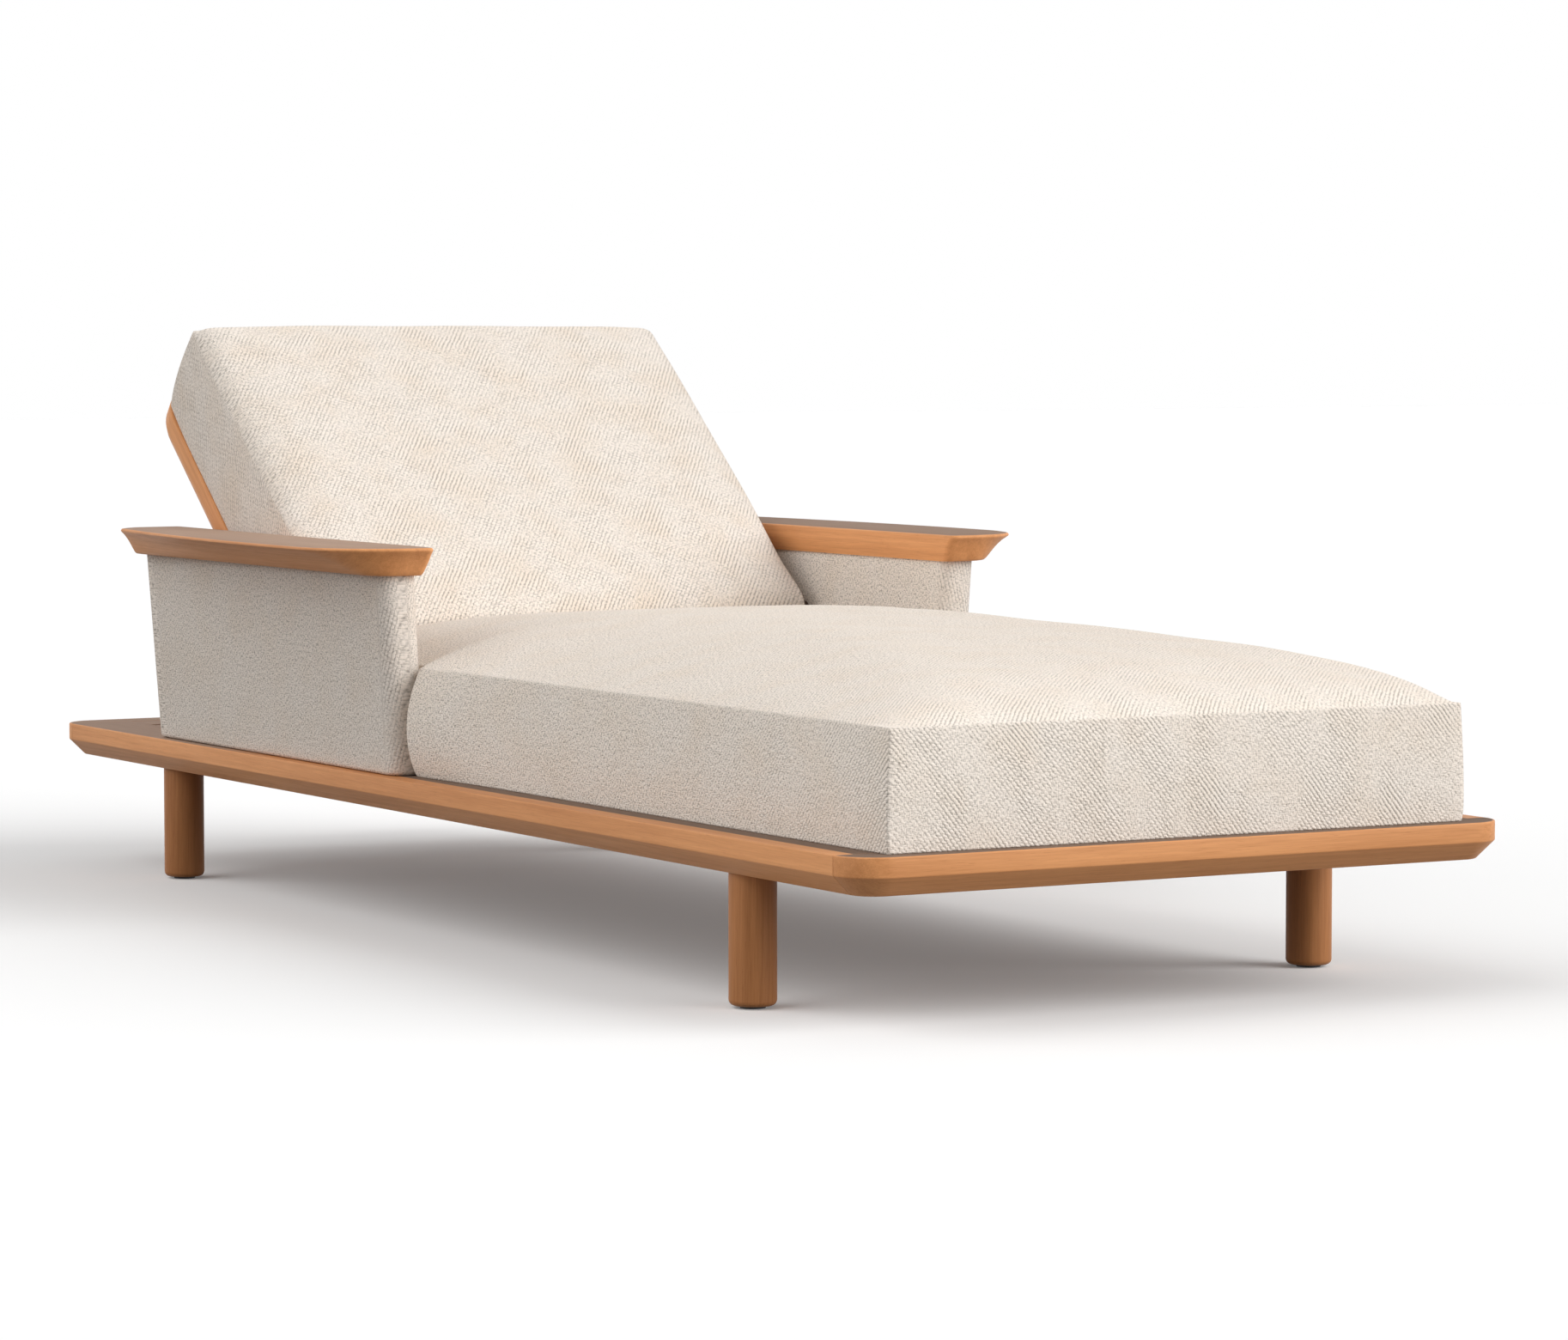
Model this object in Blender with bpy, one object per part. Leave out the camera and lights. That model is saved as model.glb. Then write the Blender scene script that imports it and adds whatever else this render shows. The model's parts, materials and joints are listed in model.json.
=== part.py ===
"""Sun lounger: wooden platform on round legs, padded arms with wooden caps, seat cushion and reclining back.

Metres, +Z up, +X to the viewer's right, the foot end at -Y. The back is modelled flat about its pivot line
and turned up by BACK_ANGLE with its parent empty.
"""

import math

import bmesh
import bpy

for thing in list(bpy.data.objects):
    bpy.data.objects.remove(thing, do_unlink=True)

# Driving sizes of the platform
PLATFORM_LENGTH = 2.000
PLATFORM_WIDTH = 0.780
PLATFORM_TOP = 0.177
RAIL_BAND = 0.020
RAIL_CHAMFER = 0.0195
CORNER_RADIUS = 0.045
SIDE_RAIL_WIDTH = 0.082
DECK_GAP = 0.0155
DECK_END_BOARD = 0.060
DECK_BOARD_COUNT = 12
DECK_BOARD_THICKNESS = 0.018
BEARER_WIDTH = 0.040
BEARER_INSET = 0.025

# Driving sizes of the legs
LEG_DIAMETER = 0.049
LEG_INSET_X = 0.049
LEG_INSET_Y = 0.287
LEG_FOOT_ROUND = 0.009
LEG_TENON_DIAMETER = 0.028
LEG_TENON_LENGTH = 0.018
GLIDE_DIAMETER = 0.026
GLIDE_HEIGHT = 0.0022

# Driving sizes of the arms
ARM_SIDE_INSET = 0.012
ARM_REAR_INSET = 0.299
ARM_LENGTH = 0.660
ARM_HEIGHT = 0.223
ARM_THICKNESS = 0.046
ARM_LEAN = 0.061
ARM_END_FLARE = 0.0215
ARM_EDGE_ROUND = 0.014
ARM_GAP = 0.004
PLINTH_INSET = 0.007
CAP_HEIGHT = 0.0278
CAP_RIM = 0.0027
CAP_CROWN = 0.0020
CAP_CROWN_INSET = 0.022
CAP_INNER_OVERHANG = 0.0065
CAP_INNER_INSET = 0.004
CAP_FOOT_OVERHANG = 0.0164
CAP_FLARE = 0.0575
CAP_WIDEST = 0.486
CAP_REAR_NARROWING = 0.0391
CAP_FRONT_OVERHANG = 0.030
CAP_FRONT_FOOT = 0.016
CAP_REAR_OVERHANG = 0.001
CAP_FRONT_ROUND = 0.104
CAP_FOOT_ROUND = 0.030
CAP_SMALL_ROUND = 0.010

# Driving sizes of the seat cushion
SEAT_SIDE_HEIGHT = 0.1215
SEAT_CROWN = 0.062
SEAT_SIDE_INSET = 0.050
SEAT_FRONT_INSET = 0.0235
SEAT_FRONT_DRAWN_IN = 0.006
SEAT_SIDE_DRAWN_IN = 0.003
SEAT_BOTTOM_INSET = 0.004
SEAT_SIDE_SWELL = 0.012
SEAT_CORNER_STIFF = 0.140
EAR_ROUND = 0.012

# Driving sizes of the back, measured flat about the pivot line
BACK_ANGLE = 39.5
PIVOT_FROM_ARM_REAR = 0.3421
PIVOT_ABOVE_SEAM = 0.0301
NOSE_RADIUS = 0.040
BACK_THICKNESS = 0.124
BOARD_THICKNESS = 0.033
BOARD_START = -0.020
BOARD_END = 0.548
BOARD_ROUND = 0.066
BOARD_LOWER_ROUND = 0.012
BOARD_BEVEL = 0.0115
BOARD_BEVEL_INSET = 0.005
BATTEN_STARTS = (0.225, 0.435)
BATTEN_WIDTH = 0.050
BATTEN_THICKNESS = 0.016
BATTEN_HALF_LENGTH = 0.255
BACK_CUSHION_END = 0.501
BACK_SIDE_INSET = 0.0035
BACK_CROWN = 0.020
BACK_SWELL = 0.0025
BACK_DRAWN_IN = 0.002

# Driving sizes of the recline hardware
PLATE_THICKNESS = 0.0035
PIVOT_HUB = 0.011
PIN_RADIUS = 0.006
BUSH_RADIUS = 0.009
QUADRANT_HUB = 0.013
QUADRANT_RADIUS = 0.137
QUADRANT_RIM = 0.030
QUADRANT_WINDOW = 0.036
NOTCH_STEP = 7.9
NOTCHES_DOWN = 5
NOTCHES_UP = 2
NOTCH_MOUTH = 0.0125
NOTCH_ROOT = 0.008
NOTCH_DEPTH = 0.007
QUADRANT_MARGIN = 9.0
PACKER_INSET = 0.012
STRIP_START = 0.035
STRIP_END = 0.205
STRIP_INSET = 0.002
SCREW_STATIONS = (0.160, 0.188)
SCREW_HEAD_RADIUS = 0.0045
SCREW_HEAD_HEIGHT = 0.0026
SCREW_RADIUS = 0.002
SCREW_DEPTH = 0.018
BAR_RADIUS = 0.005
BAR_STATION = 0.075
BAR_BEHIND_BOARD = 0.012
PAWL_REACH = 16.0
PAWL_NOSE = 0.006
PAWL_BITE = 0.0055
PAWL_HUB = 0.009
PAWL_CLEARANCE = 0.0035
PAWL_WIDTH = 0.008
PAWL_LIFT = 9.0
TAB_LENGTH = 0.045
TAB_HALF_WIDTH = 0.050
TAB_THICKNESS = 0.005
BRACKET_X = 0.180
BRACKET_WIDTH = 0.024
BRACKET_LENGTH = 0.030
BRACKET_WALL = 0.0045
REST_BLOCK_X = 0.220
REST_BLOCK_STATION = 0.335
REST_BLOCK_LENGTH = 0.050
REST_BLOCK_WIDTH = 0.060

# Clearances
SEAM_GAP = 0.0003
LANE_GAP = 0.0004
RUNNING_GAP = 0.00006
HOLE_GAP = 0.0003
SEAT_ARM_GAP = 0.006
EAR_GAP = 0.003
SEAT_BACK_GAP = 0.0015
BOARD_ARM_GAP = 0.009
OVERRUN = 0.010

# Sizes that follow
HALF_LENGTH = PLATFORM_LENGTH / 2
HALF_WIDTH = PLATFORM_WIDTH / 2
PLATFORM_BOTTOM = PLATFORM_TOP - RAIL_BAND - RAIL_CHAMFER
INNER_WIDTH = HALF_WIDTH - SIDE_RAIL_WIDTH
INNER_LENGTH = HALF_LENGTH - CORNER_RADIUS
ARM_BASE = PLATFORM_TOP + ARM_GAP
ARM_TOP = ARM_BASE + ARM_HEIGHT
ARM_OUTER_X = HALF_WIDTH - ARM_SIDE_INSET
ARM_INNER_X = ARM_OUTER_X - ARM_THICKNESS
ARM_REAR_Y = HALF_LENGTH - ARM_REAR_INSET
ARM_FRONT_Y = ARM_REAR_Y - ARM_LENGTH
CAP_INNER_X = ARM_INNER_X + ARM_LEAN * ARM_HEIGHT - CAP_INNER_OVERHANG
CAP_FOOT_X = ARM_OUTER_X + ARM_LEAN * ARM_HEIGHT + CAP_FOOT_OVERHANG
CAP_FRONT_Y = ARM_FRONT_Y - ARM_END_FLARE * ARM_HEIGHT - CAP_FRONT_OVERHANG
CAP_FOOT_Y = ARM_FRONT_Y - ARM_END_FLARE * ARM_HEIGHT - CAP_FRONT_FOOT
CAP_REAR_Y = ARM_REAR_Y + ARM_END_FLARE * ARM_HEIGHT + CAP_REAR_OVERHANG
SEAT_SEAM_Z = PLATFORM_TOP + SEAT_SIDE_HEIGHT
SEAT_HALF_WIDTH = HALF_WIDTH - SEAT_SIDE_INSET
SEAT_BETWEEN_ARMS = ARM_INNER_X - SEAT_ARM_GAP
SEAT_FRONT_Y = -HALF_LENGTH + SEAT_FRONT_INSET
PIVOT_Y = ARM_REAR_Y - PIVOT_FROM_ARM_REAR
PIVOT_Z = SEAT_SEAM_Z + PIVOT_ABOVE_SEAM
SEAT_REAR_Y = PIVOT_Y - NOSE_RADIUS - SEAT_BACK_GAP
BOARD_FRONT = NOSE_RADIUS - BACK_THICKNESS
BOARD_DROP = BOARD_THICKNESS - BOARD_FRONT
BOARD_HALF_WIDTH = ARM_INNER_X - BOARD_ARM_GAP
BACK_HALF_WIDTH = BOARD_HALF_WIDTH - BACK_SIDE_INSET
PLATE_X = BOARD_HALF_WIDTH + SEAM_GAP
QUADRANT_X = PLATE_X + PLATE_THICKNESS + LANE_GAP
PACKER_X = QUADRANT_X + PLATE_THICKNESS + SEAM_GAP
BAR_DROP = BOARD_DROP + BAR_BEHIND_BOARD
BAR_ANGLE = -math.degrees(math.atan2(BAR_DROP, BAR_STATION))
NOSE_ANGLE = BAR_ANGLE + PAWL_REACH
BRACKET_BOTTOM = -(BAR_DROP + BAR_RADIUS + BRACKET_WALL)

parts = bpy.data.collections.new("sun_lounger")
cutters = bpy.data.collections.new("cutters")
bpy.context.scene.collection.children.link(parts)
bpy.context.scene.collection.children.link(cutters)
cutters.hide_render = True


def paint(name, colour, roughness, metallic=0.0):
    """A plain Principled material."""
    made = bpy.data.materials.new(name)
    made.use_nodes = True
    shader = made.node_tree.nodes["Principled BSDF"]
    shader.inputs["Base Color"].default_value = (*colour, 1.0)
    shader.inputs["Roughness"].default_value = roughness
    shader.inputs["Metallic"].default_value = metallic
    return made


WOOD = ("wood", (0.46, 0.26, 0.14), 0.45)
FABRIC = ("fabric", (0.82, 0.77, 0.70), 0.90)
STEEL = ("steel", (0.62, 0.62, 0.63), 0.35, 1.0)
NYLON = ("nylon", (0.05, 0.05, 0.05), 0.55)


def add(name, bm, look, parent=None):
    """Makes the finished object of a node, with its faces turned outwards and a material of its own."""
    bmesh.ops.recalc_face_normals(bm, faces=bm.faces)
    mesh = bpy.data.meshes.new(name)
    bm.to_mesh(mesh)
    bm.free()
    made = bpy.data.objects.new(name, mesh)
    parts.objects.link(made)
    mesh.materials.append(paint(name + "_" + look[0], *look[1:]))
    made.parent = parent
    return made


def combine(target, bm, operation, parent=None):
    """A hidden helper solid that a Boolean takes from the target, or joins to it."""
    bmesh.ops.recalc_face_normals(bm, faces=bm.faces)
    mesh = bpy.data.meshes.new(target.name + "_helper")
    bm.to_mesh(mesh)
    bm.free()
    helper = bpy.data.objects.new(target.name + "_helper", mesh)
    helper.hide_render = True
    helper.display_type = "WIRE"
    helper.parent = parent
    cutters.objects.link(helper)
    step = target.modifiers.new(operation.lower(), "BOOLEAN")
    step.operation = operation
    step.solver = "EXACT"
    step.object = helper
    return helper


def pivot(name, place, turn, parent=None):
    """An empty on a joint's axis, along X."""
    made = bpy.data.objects.new(name, None)
    made.empty_display_size = 0.05
    made.location = place
    made.rotation_euler = (math.radians(turn), 0.0, 0.0)
    made.parent = parent
    parts.objects.link(made)
    return made


def loft(sections):
    """A closed solid through outlines that have the same number of points."""
    bm = bmesh.new()
    rings = [[bm.verts.new(point) for point in section] for section in sections]
    count = len(rings[0])
    for low, high in zip(rings, rings[1:]):
        for i in range(count):
            j = (i + 1) % count
            bm.faces.new((low[i], low[j], high[j], high[i]))
    bm.faces.new(rings[0])
    bm.faces.new(rings[-1])
    return bm


def block(x0, x1, y0, y1, z0, z1):
    """A box between two corners."""
    low = [(x0, y0, z0), (x1, y0, z0), (x1, y1, z0), (x0, y1, z0)]
    return loft([low, [(x, y, z1) for x, y, z in low]])


def slab_x(outline, x0, x1):
    """An outline of (y, z) points carried along X."""
    return loft([[(x, y, z) for y, z in outline] for x in (x0, x1)])


def rod_x(radius, y, z, x0, x1, steps=32):
    """A round bar along X."""
    turns = [2 * math.pi * i / steps for i in range(steps)]
    outline = [(y + radius * math.cos(a), z + radius * math.sin(a)) for a in turns]
    return slab_x(outline, x0, x1)


def lathe(profile, x, y, steps=32):
    """A turned solid about a vertical line: the profile of (radius, z) starts and ends on that line."""
    bm = bmesh.new()
    line = [bm.verts.new((x + r, y, z)) for r, z in profile]
    edges = [bm.edges.new(pair) for pair in zip(line, line[1:])]
    bmesh.ops.spin(
        bm, geom=line + edges, cent=(x, y, 0), axis=(0, 0, 1), angle=2 * math.pi, steps=steps, use_merge=True
    )
    bmesh.ops.remove_doubles(bm, verts=bm.verts, dist=1e-6)
    return bm


def arc(cx, cy, radius, start, end, steps):
    """Points of a circular arc, angles in degrees."""
    turns = [math.radians(start + (end - start) * i / steps) for i in range(steps + 1)]
    return [(cx + radius * math.cos(a), cy + radius * math.sin(a)) for a in turns]


def rounded(x0, x1, y0, y1, radii, steps=5):
    """A rectangle with rounded corners; radii are for (x1, y0), (x1, y1), (x0, y1), (x0, y0)."""
    a, b, c, d = radii
    points = arc(x1 - a, y0 + a, a, -90, 0, steps)
    points += arc(x1 - b, y1 - b, b, 0, 90, steps)
    points += arc(x0 + c, y1 - c, c, 90, 180, steps)
    points += arc(x0 + d, y0 + d, d, 180, 270, steps)
    return points


def polar(radius, degrees):
    """A point (y, z) about the pivot line."""
    return (radius * math.cos(math.radians(degrees)), radius * math.sin(math.radians(degrees)))


# Platform: end rails with rounded corners, side rails between them, all with an undercut lower edge
def end_rail_outline(inset, end):
    reach = CORNER_RADIUS - inset
    centre = HALF_WIDTH - CORNER_RADIUS
    points = arc(-centre, -INNER_LENGTH, reach, 180, 270, 8)
    points += arc(centre, -INNER_LENGTH, reach, 270, 360, 8)
    return [(x, -y * end) for x, y in points]


RAIL_LEVELS = ((PLATFORM_TOP, 0.0), (PLATFORM_TOP - RAIL_BAND, 0.0), (PLATFORM_BOTTOM, RAIL_CHAMFER))

for label, end in (("front", -1), ("rear", 1)):
    sections = [[(x, y, z) for x, y in end_rail_outline(inset, end)] for z, inset in RAIL_LEVELS]
    add("end_rail_" + label, loft(sections), WOOD)

leg_x = HALF_WIDTH - LEG_INSET_X
leg_y = HALF_LENGTH - LEG_INSET_Y
rail_end = INNER_LENGTH - SEAM_GAP
for label, side in (("left", -1), ("right", 1)):
    profile = [(INNER_WIDTH, PLATFORM_TOP), (INNER_WIDTH, PLATFORM_BOTTOM)]
    profile += [(HALF_WIDTH - inset, z) for z, inset in reversed(RAIL_LEVELS)]
    sections = [[(side * x, y, z) for x, z in profile] for y in (-rail_end, rail_end)]
    rail = add("side_rail_" + label, loft(sections), WOOD)
    for y in (-leg_y, leg_y):
        hole = LEG_TENON_DIAMETER / 2 + HOLE_GAP
        top = PLATFORM_BOTTOM + LEG_TENON_LENGTH + HOLE_GAP
        profile = [(0, PLATFORM_BOTTOM - 0.01), (hole, PLATFORM_BOTTOM - 0.01), (hole, top), (0, top)]
        combine(rail, lathe(profile, side * leg_x, y), "DIFFERENCE")

# Deck: bearers along the platform, and boards across it, the two end boards close to the end rails
board_low = PLATFORM_TOP - DECK_BOARD_THICKNESS
bearer_x = INNER_WIDTH - BEARER_INSET
for label, x in (("left", -bearer_x), ("middle", 0.0), ("right", bearer_x)):
    half = BEARER_WIDTH / 2
    bearer = block(x - half, x + half, -rail_end, rail_end, PLATFORM_BOTTOM, board_low - SEAM_GAP)
    add("bearer_" + label, bearer, WOOD)

board_x = INNER_WIDTH - SEAM_GAP
deck_start = -INNER_LENGTH + DECK_END_BOARD + DECK_GAP
deck_pitch = (-2 * deck_start + DECK_GAP) / DECK_BOARD_COUNT
spans = [(-rail_end, -INNER_LENGTH + DECK_END_BOARD)]
for i in range(DECK_BOARD_COUNT):
    start = deck_start + i * deck_pitch
    spans.append((start, start + deck_pitch - DECK_GAP))
spans.append((INNER_LENGTH - DECK_END_BOARD, rail_end))
for i, (start, end) in enumerate(spans):
    add(f"deck_board_{i + 1:02d}", block(-board_x, board_x, start, end, board_low, PLATFORM_TOP), WOOD)

# Legs: turned posts with a tenon in the side rail and a glide under each
leg_low = GLIDE_HEIGHT + SEAM_GAP
leg_high = PLATFORM_BOTTOM - SEAM_GAP
for label, x, y in (
    ("front_left", -leg_x, -leg_y),
    ("front_right", leg_x, -leg_y),
    ("rear_left", -leg_x, leg_y),
    ("rear_right", leg_x, leg_y),
):
    radius = LEG_DIAMETER / 2
    tenon = LEG_TENON_DIAMETER / 2
    foot = arc(radius - LEG_FOOT_ROUND, leg_low + LEG_FOOT_ROUND, LEG_FOOT_ROUND, -90, 0, 4)
    top = PLATFORM_BOTTOM + LEG_TENON_LENGTH
    profile = [(0, leg_low)] + foot + [(radius, leg_high), (tenon, leg_high), (tenon, top), (0, top)]
    add("leg_" + label, lathe(profile, x, y), WOOD)
    pad = GLIDE_DIAMETER / 2
    profile = [(0, 0), (pad, 0), (pad, GLIDE_HEIGHT), (0, GLIDE_HEIGHT)]
    add("glide_" + label, lathe(profile, x, y, 24), NYLON)


# Arms: recessed plinth, leaning padded panel, flared cap
def arm_outline(z, inset):
    """The panel's plan at a height: it leans outwards, and its ends flare a little."""
    rise = z - ARM_BASE
    outer = ARM_OUTER_X + ARM_LEAN * rise - inset
    inner = ARM_INNER_X + ARM_LEAN * rise + inset
    front = ARM_FRONT_Y - ARM_END_FLARE * rise + inset
    rear = ARM_REAR_Y + ARM_END_FLARE * rise - inset
    return rounded(inner, outer, front, rear, (ARM_EDGE_ROUND,) * 4)


def cap_outline(flare, z, inset=0.0):
    """The cap's plan: straight inside, bowed outside with a wide front corner; flare runs from 0 at its foot to 1."""
    inner = CAP_INNER_X + CAP_INNER_INSET * (1 - min(1.0, 2 * max(flare, 0.0))) + inset
    front = CAP_FOOT_Y + (CAP_FRONT_Y - CAP_FOOT_Y) * flare + inset
    rear = CAP_REAR_Y - inset
    widest = CAP_FOOT_X + CAP_FLARE * flare - inset
    wide_round = CAP_FOOT_ROUND + (CAP_FRONT_ROUND - CAP_FOOT_ROUND) * max(flare, 0.0) - inset
    widest_y = CAP_REAR_Y - CAP_WIDEST

    def outer(y):
        return widest - max(flare, 0.0) * CAP_REAR_NARROWING * ((y - widest_y) / CAP_WIDEST) ** 2

    small = CAP_SMALL_ROUND - min(inset, CAP_SMALL_ROUND / 2)
    points = arc(inner + small, front + small, small, 180, 270, 4)
    first = front + wide_round
    points += arc(outer(first) - wide_round, first, wide_round, 270, 360, 9)
    last = rear - small
    for i in range(1, 10):
        y = first + (last - first) * i / 10
        points.append((outer(y), y))
    points += arc(outer(last) - small, rear - small, small, 0, 90, 4)
    points += arc(inner + small, rear - small, small, 90, 180, 4)
    return [(x, y, z) for x, y in points]


# Shares of the cap's height, and of its flare there, read along its silhouette
CAP_LEVELS = (
    (0.0, -0.14),
    (0.037, 0.0),
    (0.116, 0.107),
    (0.31, 0.272),
    (0.544, 0.466),
    (0.806, 0.738),
    (0.95, 0.957),
    (1.0, 1.0),
)

for label, side in (("left", -1), ("right", 1)):
    low = PLATFORM_TOP + SEAM_GAP
    high = ARM_BASE - SEAM_GAP
    sections = [[(side * x, y, z) for x, y in arm_outline(ARM_BASE, PLINTH_INSET)] for z in (low, high)]
    add("arm_plinth_" + label, loft(sections), WOOD)
    levels = (ARM_BASE, ARM_TOP - SEAM_GAP)
    sections = [[(side * x, y, z) for x, y in arm_outline(z, 0.0)] for z in levels]
    add("arm_panel_" + label, loft(sections), FABRIC)
    sections = [cap_outline(flare, ARM_TOP + CAP_HEIGHT * up) for up, flare in CAP_LEVELS]
    rim = ARM_TOP + CAP_HEIGHT + CAP_RIM
    sections.append(cap_outline(1.0, rim, CAP_RIM))
    sections.append(cap_outline(1.0, rim + CAP_CROWN, CAP_CROWN_INSET))
    sections = [[(side * x, y, z) for x, y, z in section] for section in sections]
    add("arm_cap_" + label, loft(sections), WOOD)


# Cushions
def swelling(place, across, along, low, swell, inset):
    """A box cushion: a crowned top over a seam, sides that swell out and run in a little at the bottom.

    place(u, v) gives the seam plan and the crowned height for u, v in 0 to 1, and swell(x, y) how far the side
    stands out at mid height.
    """
    bm = bmesh.new()
    grid = [[bm.verts.new(place(u, v)) for u in across] for v in along]
    for near, far in zip(grid, grid[1:]):
        for i in range(len(near) - 1):
            bm.faces.new((near[i], near[i + 1], far[i + 1], far[i]))
    ring = grid[0] + [row[-1] for row in grid[1:-1]] + grid[-1][::-1] + [row[0] for row in grid[-2:0:-1]]
    seam = [vert.co.copy() for vert in ring]
    count = len(ring)
    outward = []
    for i in range(count):
        step = seam[(i + 1) % count] - seam[i - 1]
        outward.append((step.y, -step.x) if step.length == 0 else (step.y / step.length, -step.x / step.length))
    above = ring
    for part in (0.72, 0.40, 0.12, 0.0):
        made = []
        for point, (nx, ny) in zip(seam, outward):
            bulge = 4 * swell(point.x, point.y) * part * (1 - part) - inset * (1 - part) ** 2
            z = low + (point.z - low) * part
            made.append(bm.verts.new((point.x + nx * bulge, point.y + ny * bulge, z)))
        for i in range(count):
            j = (i + 1) % count
            bm.faces.new((above[i], above[j], made[j], made[i]))
        above = made
    bm.faces.new(above)
    return bm


def spread(stops):
    """Stations between stops, each stop a (value, divisions to the next one)."""
    values = []
    for (a, count), (b, _) in zip(stops, stops[1:]):
        values += [a + (b - a) * i / count for i in range(count)]
    return values + [stops[-1][0]]


seat_length = SEAT_REAR_Y - SEAT_FRONT_Y
ear_y = ARM_FRONT_Y - ARM_END_FLARE * (SEAT_SEAM_Z - ARM_BASE) - EAR_GAP
ear_end = (ear_y - SEAT_FRONT_Y) / seat_length
ear_start = ear_end - EAR_ROUND / seat_length
SEAT_RISE = 20
SEAT_FALL = 7
SEAT_FALL_REACH = 0.92


def seat_place(u, v):
    """The seat cushion's seam plan and height: wide in front of the arms, narrower between them."""
    across = 2 * u - 1
    half = SEAT_HALF_WIDTH - SEAT_SIDE_DRAWN_IN * 4 * min(v / ear_end, 1) * (1 - min(v / ear_end, 1))
    turn = min(max((v - ear_start) / (ear_end - ear_start), 0.0), 1.0)
    half += (SEAT_BETWEEN_ARMS - half) * (1 - math.sqrt(1 - turn * turn))
    y = SEAT_FRONT_Y + seat_length * v
    y += SEAT_FRONT_DRAWN_IN * (1 - across * across) * max(0.0, 1 - 6 * v)
    front = 1 - (1 - v) ** SEAT_RISE
    rear = 1 - (SEAT_FALL_REACH * v) ** SEAT_FALL
    crown = (1 - across**4) ** 0.75 * front * rear
    return (across * half, y, SEAT_SEAM_Z + SEAT_CROWN * crown)


def seat_swell(x, y):
    """Sides stand out least near the front corners, and not at all between the arms."""
    if y > ear_y - SEAM_GAP:
        return SEAM_GAP
    near = math.hypot(abs(x) - SEAT_HALF_WIDTH, y - SEAT_FRONT_Y) / SEAT_CORNER_STIFF
    return SEAT_SIDE_SWELL * (1 - 0.65 * math.exp(-near * near))


across = spread([(0.0, 2), (0.08, 3), (0.30, 2), (0.70, 3), (0.92, 2), (1.0, 0)])
along = spread([(0.0, 2), (0.03, 2), (0.10, 5), (ear_start, 3), (ear_end, 3), (0.92, 2), (1.0, 0)])
cushion = swelling(seat_place, across, along, PLATFORM_TOP + SEAM_GAP, seat_swell, SEAT_BOTTOM_INSET)
add("seat_cushion", cushion, FABRIC)

# Back: everything from here to the quadrants is flat about the pivot line and hangs on this empty
back = pivot("back_pivot", (0.0, PIVOT_Y, PIVOT_Z), BACK_ANGLE)


def board_outline(inset):
    radii = (BOARD_LOWER_ROUND, BOARD_ROUND, BOARD_ROUND, BOARD_LOWER_ROUND)
    radii = tuple(radius - inset for radius in radii)
    half = BOARD_HALF_WIDTH - inset
    return rounded(-half, half, BOARD_START + inset, BOARD_END - inset, radii, 8)


sections = [[(x, y, BOARD_FRONT) for x, y in board_outline(0.0)]]
sections.append([(x, y, BOARD_BEVEL - BOARD_DROP) for x, y in board_outline(0.0)])
sections.append([(x, y, -BOARD_DROP) for x, y in board_outline(BOARD_BEVEL_INSET)])
board = add("back_board", loft(sections), WOOD, back)

for label, start in zip(("lower", "upper"), BATTEN_STARTS):
    high = -BOARD_DROP - SEAM_GAP
    batten = block(
        -BATTEN_HALF_LENGTH, BATTEN_HALF_LENGTH, start, start + BATTEN_WIDTH, high - BATTEN_THICKNESS, high
    )
    add("back_batten_" + label, batten, WOOD, back)


def back_place(u, v):
    """The back cushion's seam plan and height: its lower end is a nose about the pivot line."""
    across = 2 * u - 1
    half = BACK_HALF_WIDTH - BACK_DRAWN_IN * 4 * v * (1 - v)
    y = -NOSE_RADIUS + (BACK_CUSHION_END + NOSE_RADIUS) * v
    nose = NOSE_RADIUS if y > 0 else math.sqrt(max(0.0, NOSE_RADIUS**2 - y**2))
    up = max(0.0, y) / BACK_CUSHION_END
    crown = (1 - across**4) ** 0.75 * (1 - up**8) * (1 - (1 - up) ** 5)
    y -= BACK_DRAWN_IN * (1 - across * across) * max(0.0, 6 * v - 5)
    return (across * half, y, BACK_CROWN * crown + nose)


def back_swell(x, y):
    """Sides and top end stand out a little, and the lower end stays clear of the seat."""
    return BACK_SWELL * min(1.0, max(0.0, y / NOSE_RADIUS))


nose_share = NOSE_RADIUS / (BACK_CUSHION_END + NOSE_RADIUS)
along = [nose_share * (1 - math.cos(math.radians(a))) for a in (0, 22, 44, 66)]
along += spread([(nose_share, 2), (0.2, 5), (0.9, 3), (1.0, 0)])
cushion = swelling(back_place, across, along, BOARD_FRONT + SEAM_GAP, back_swell, BACK_DRAWN_IN)
add("back_cushion", cushion, FABRIC, back)

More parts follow.
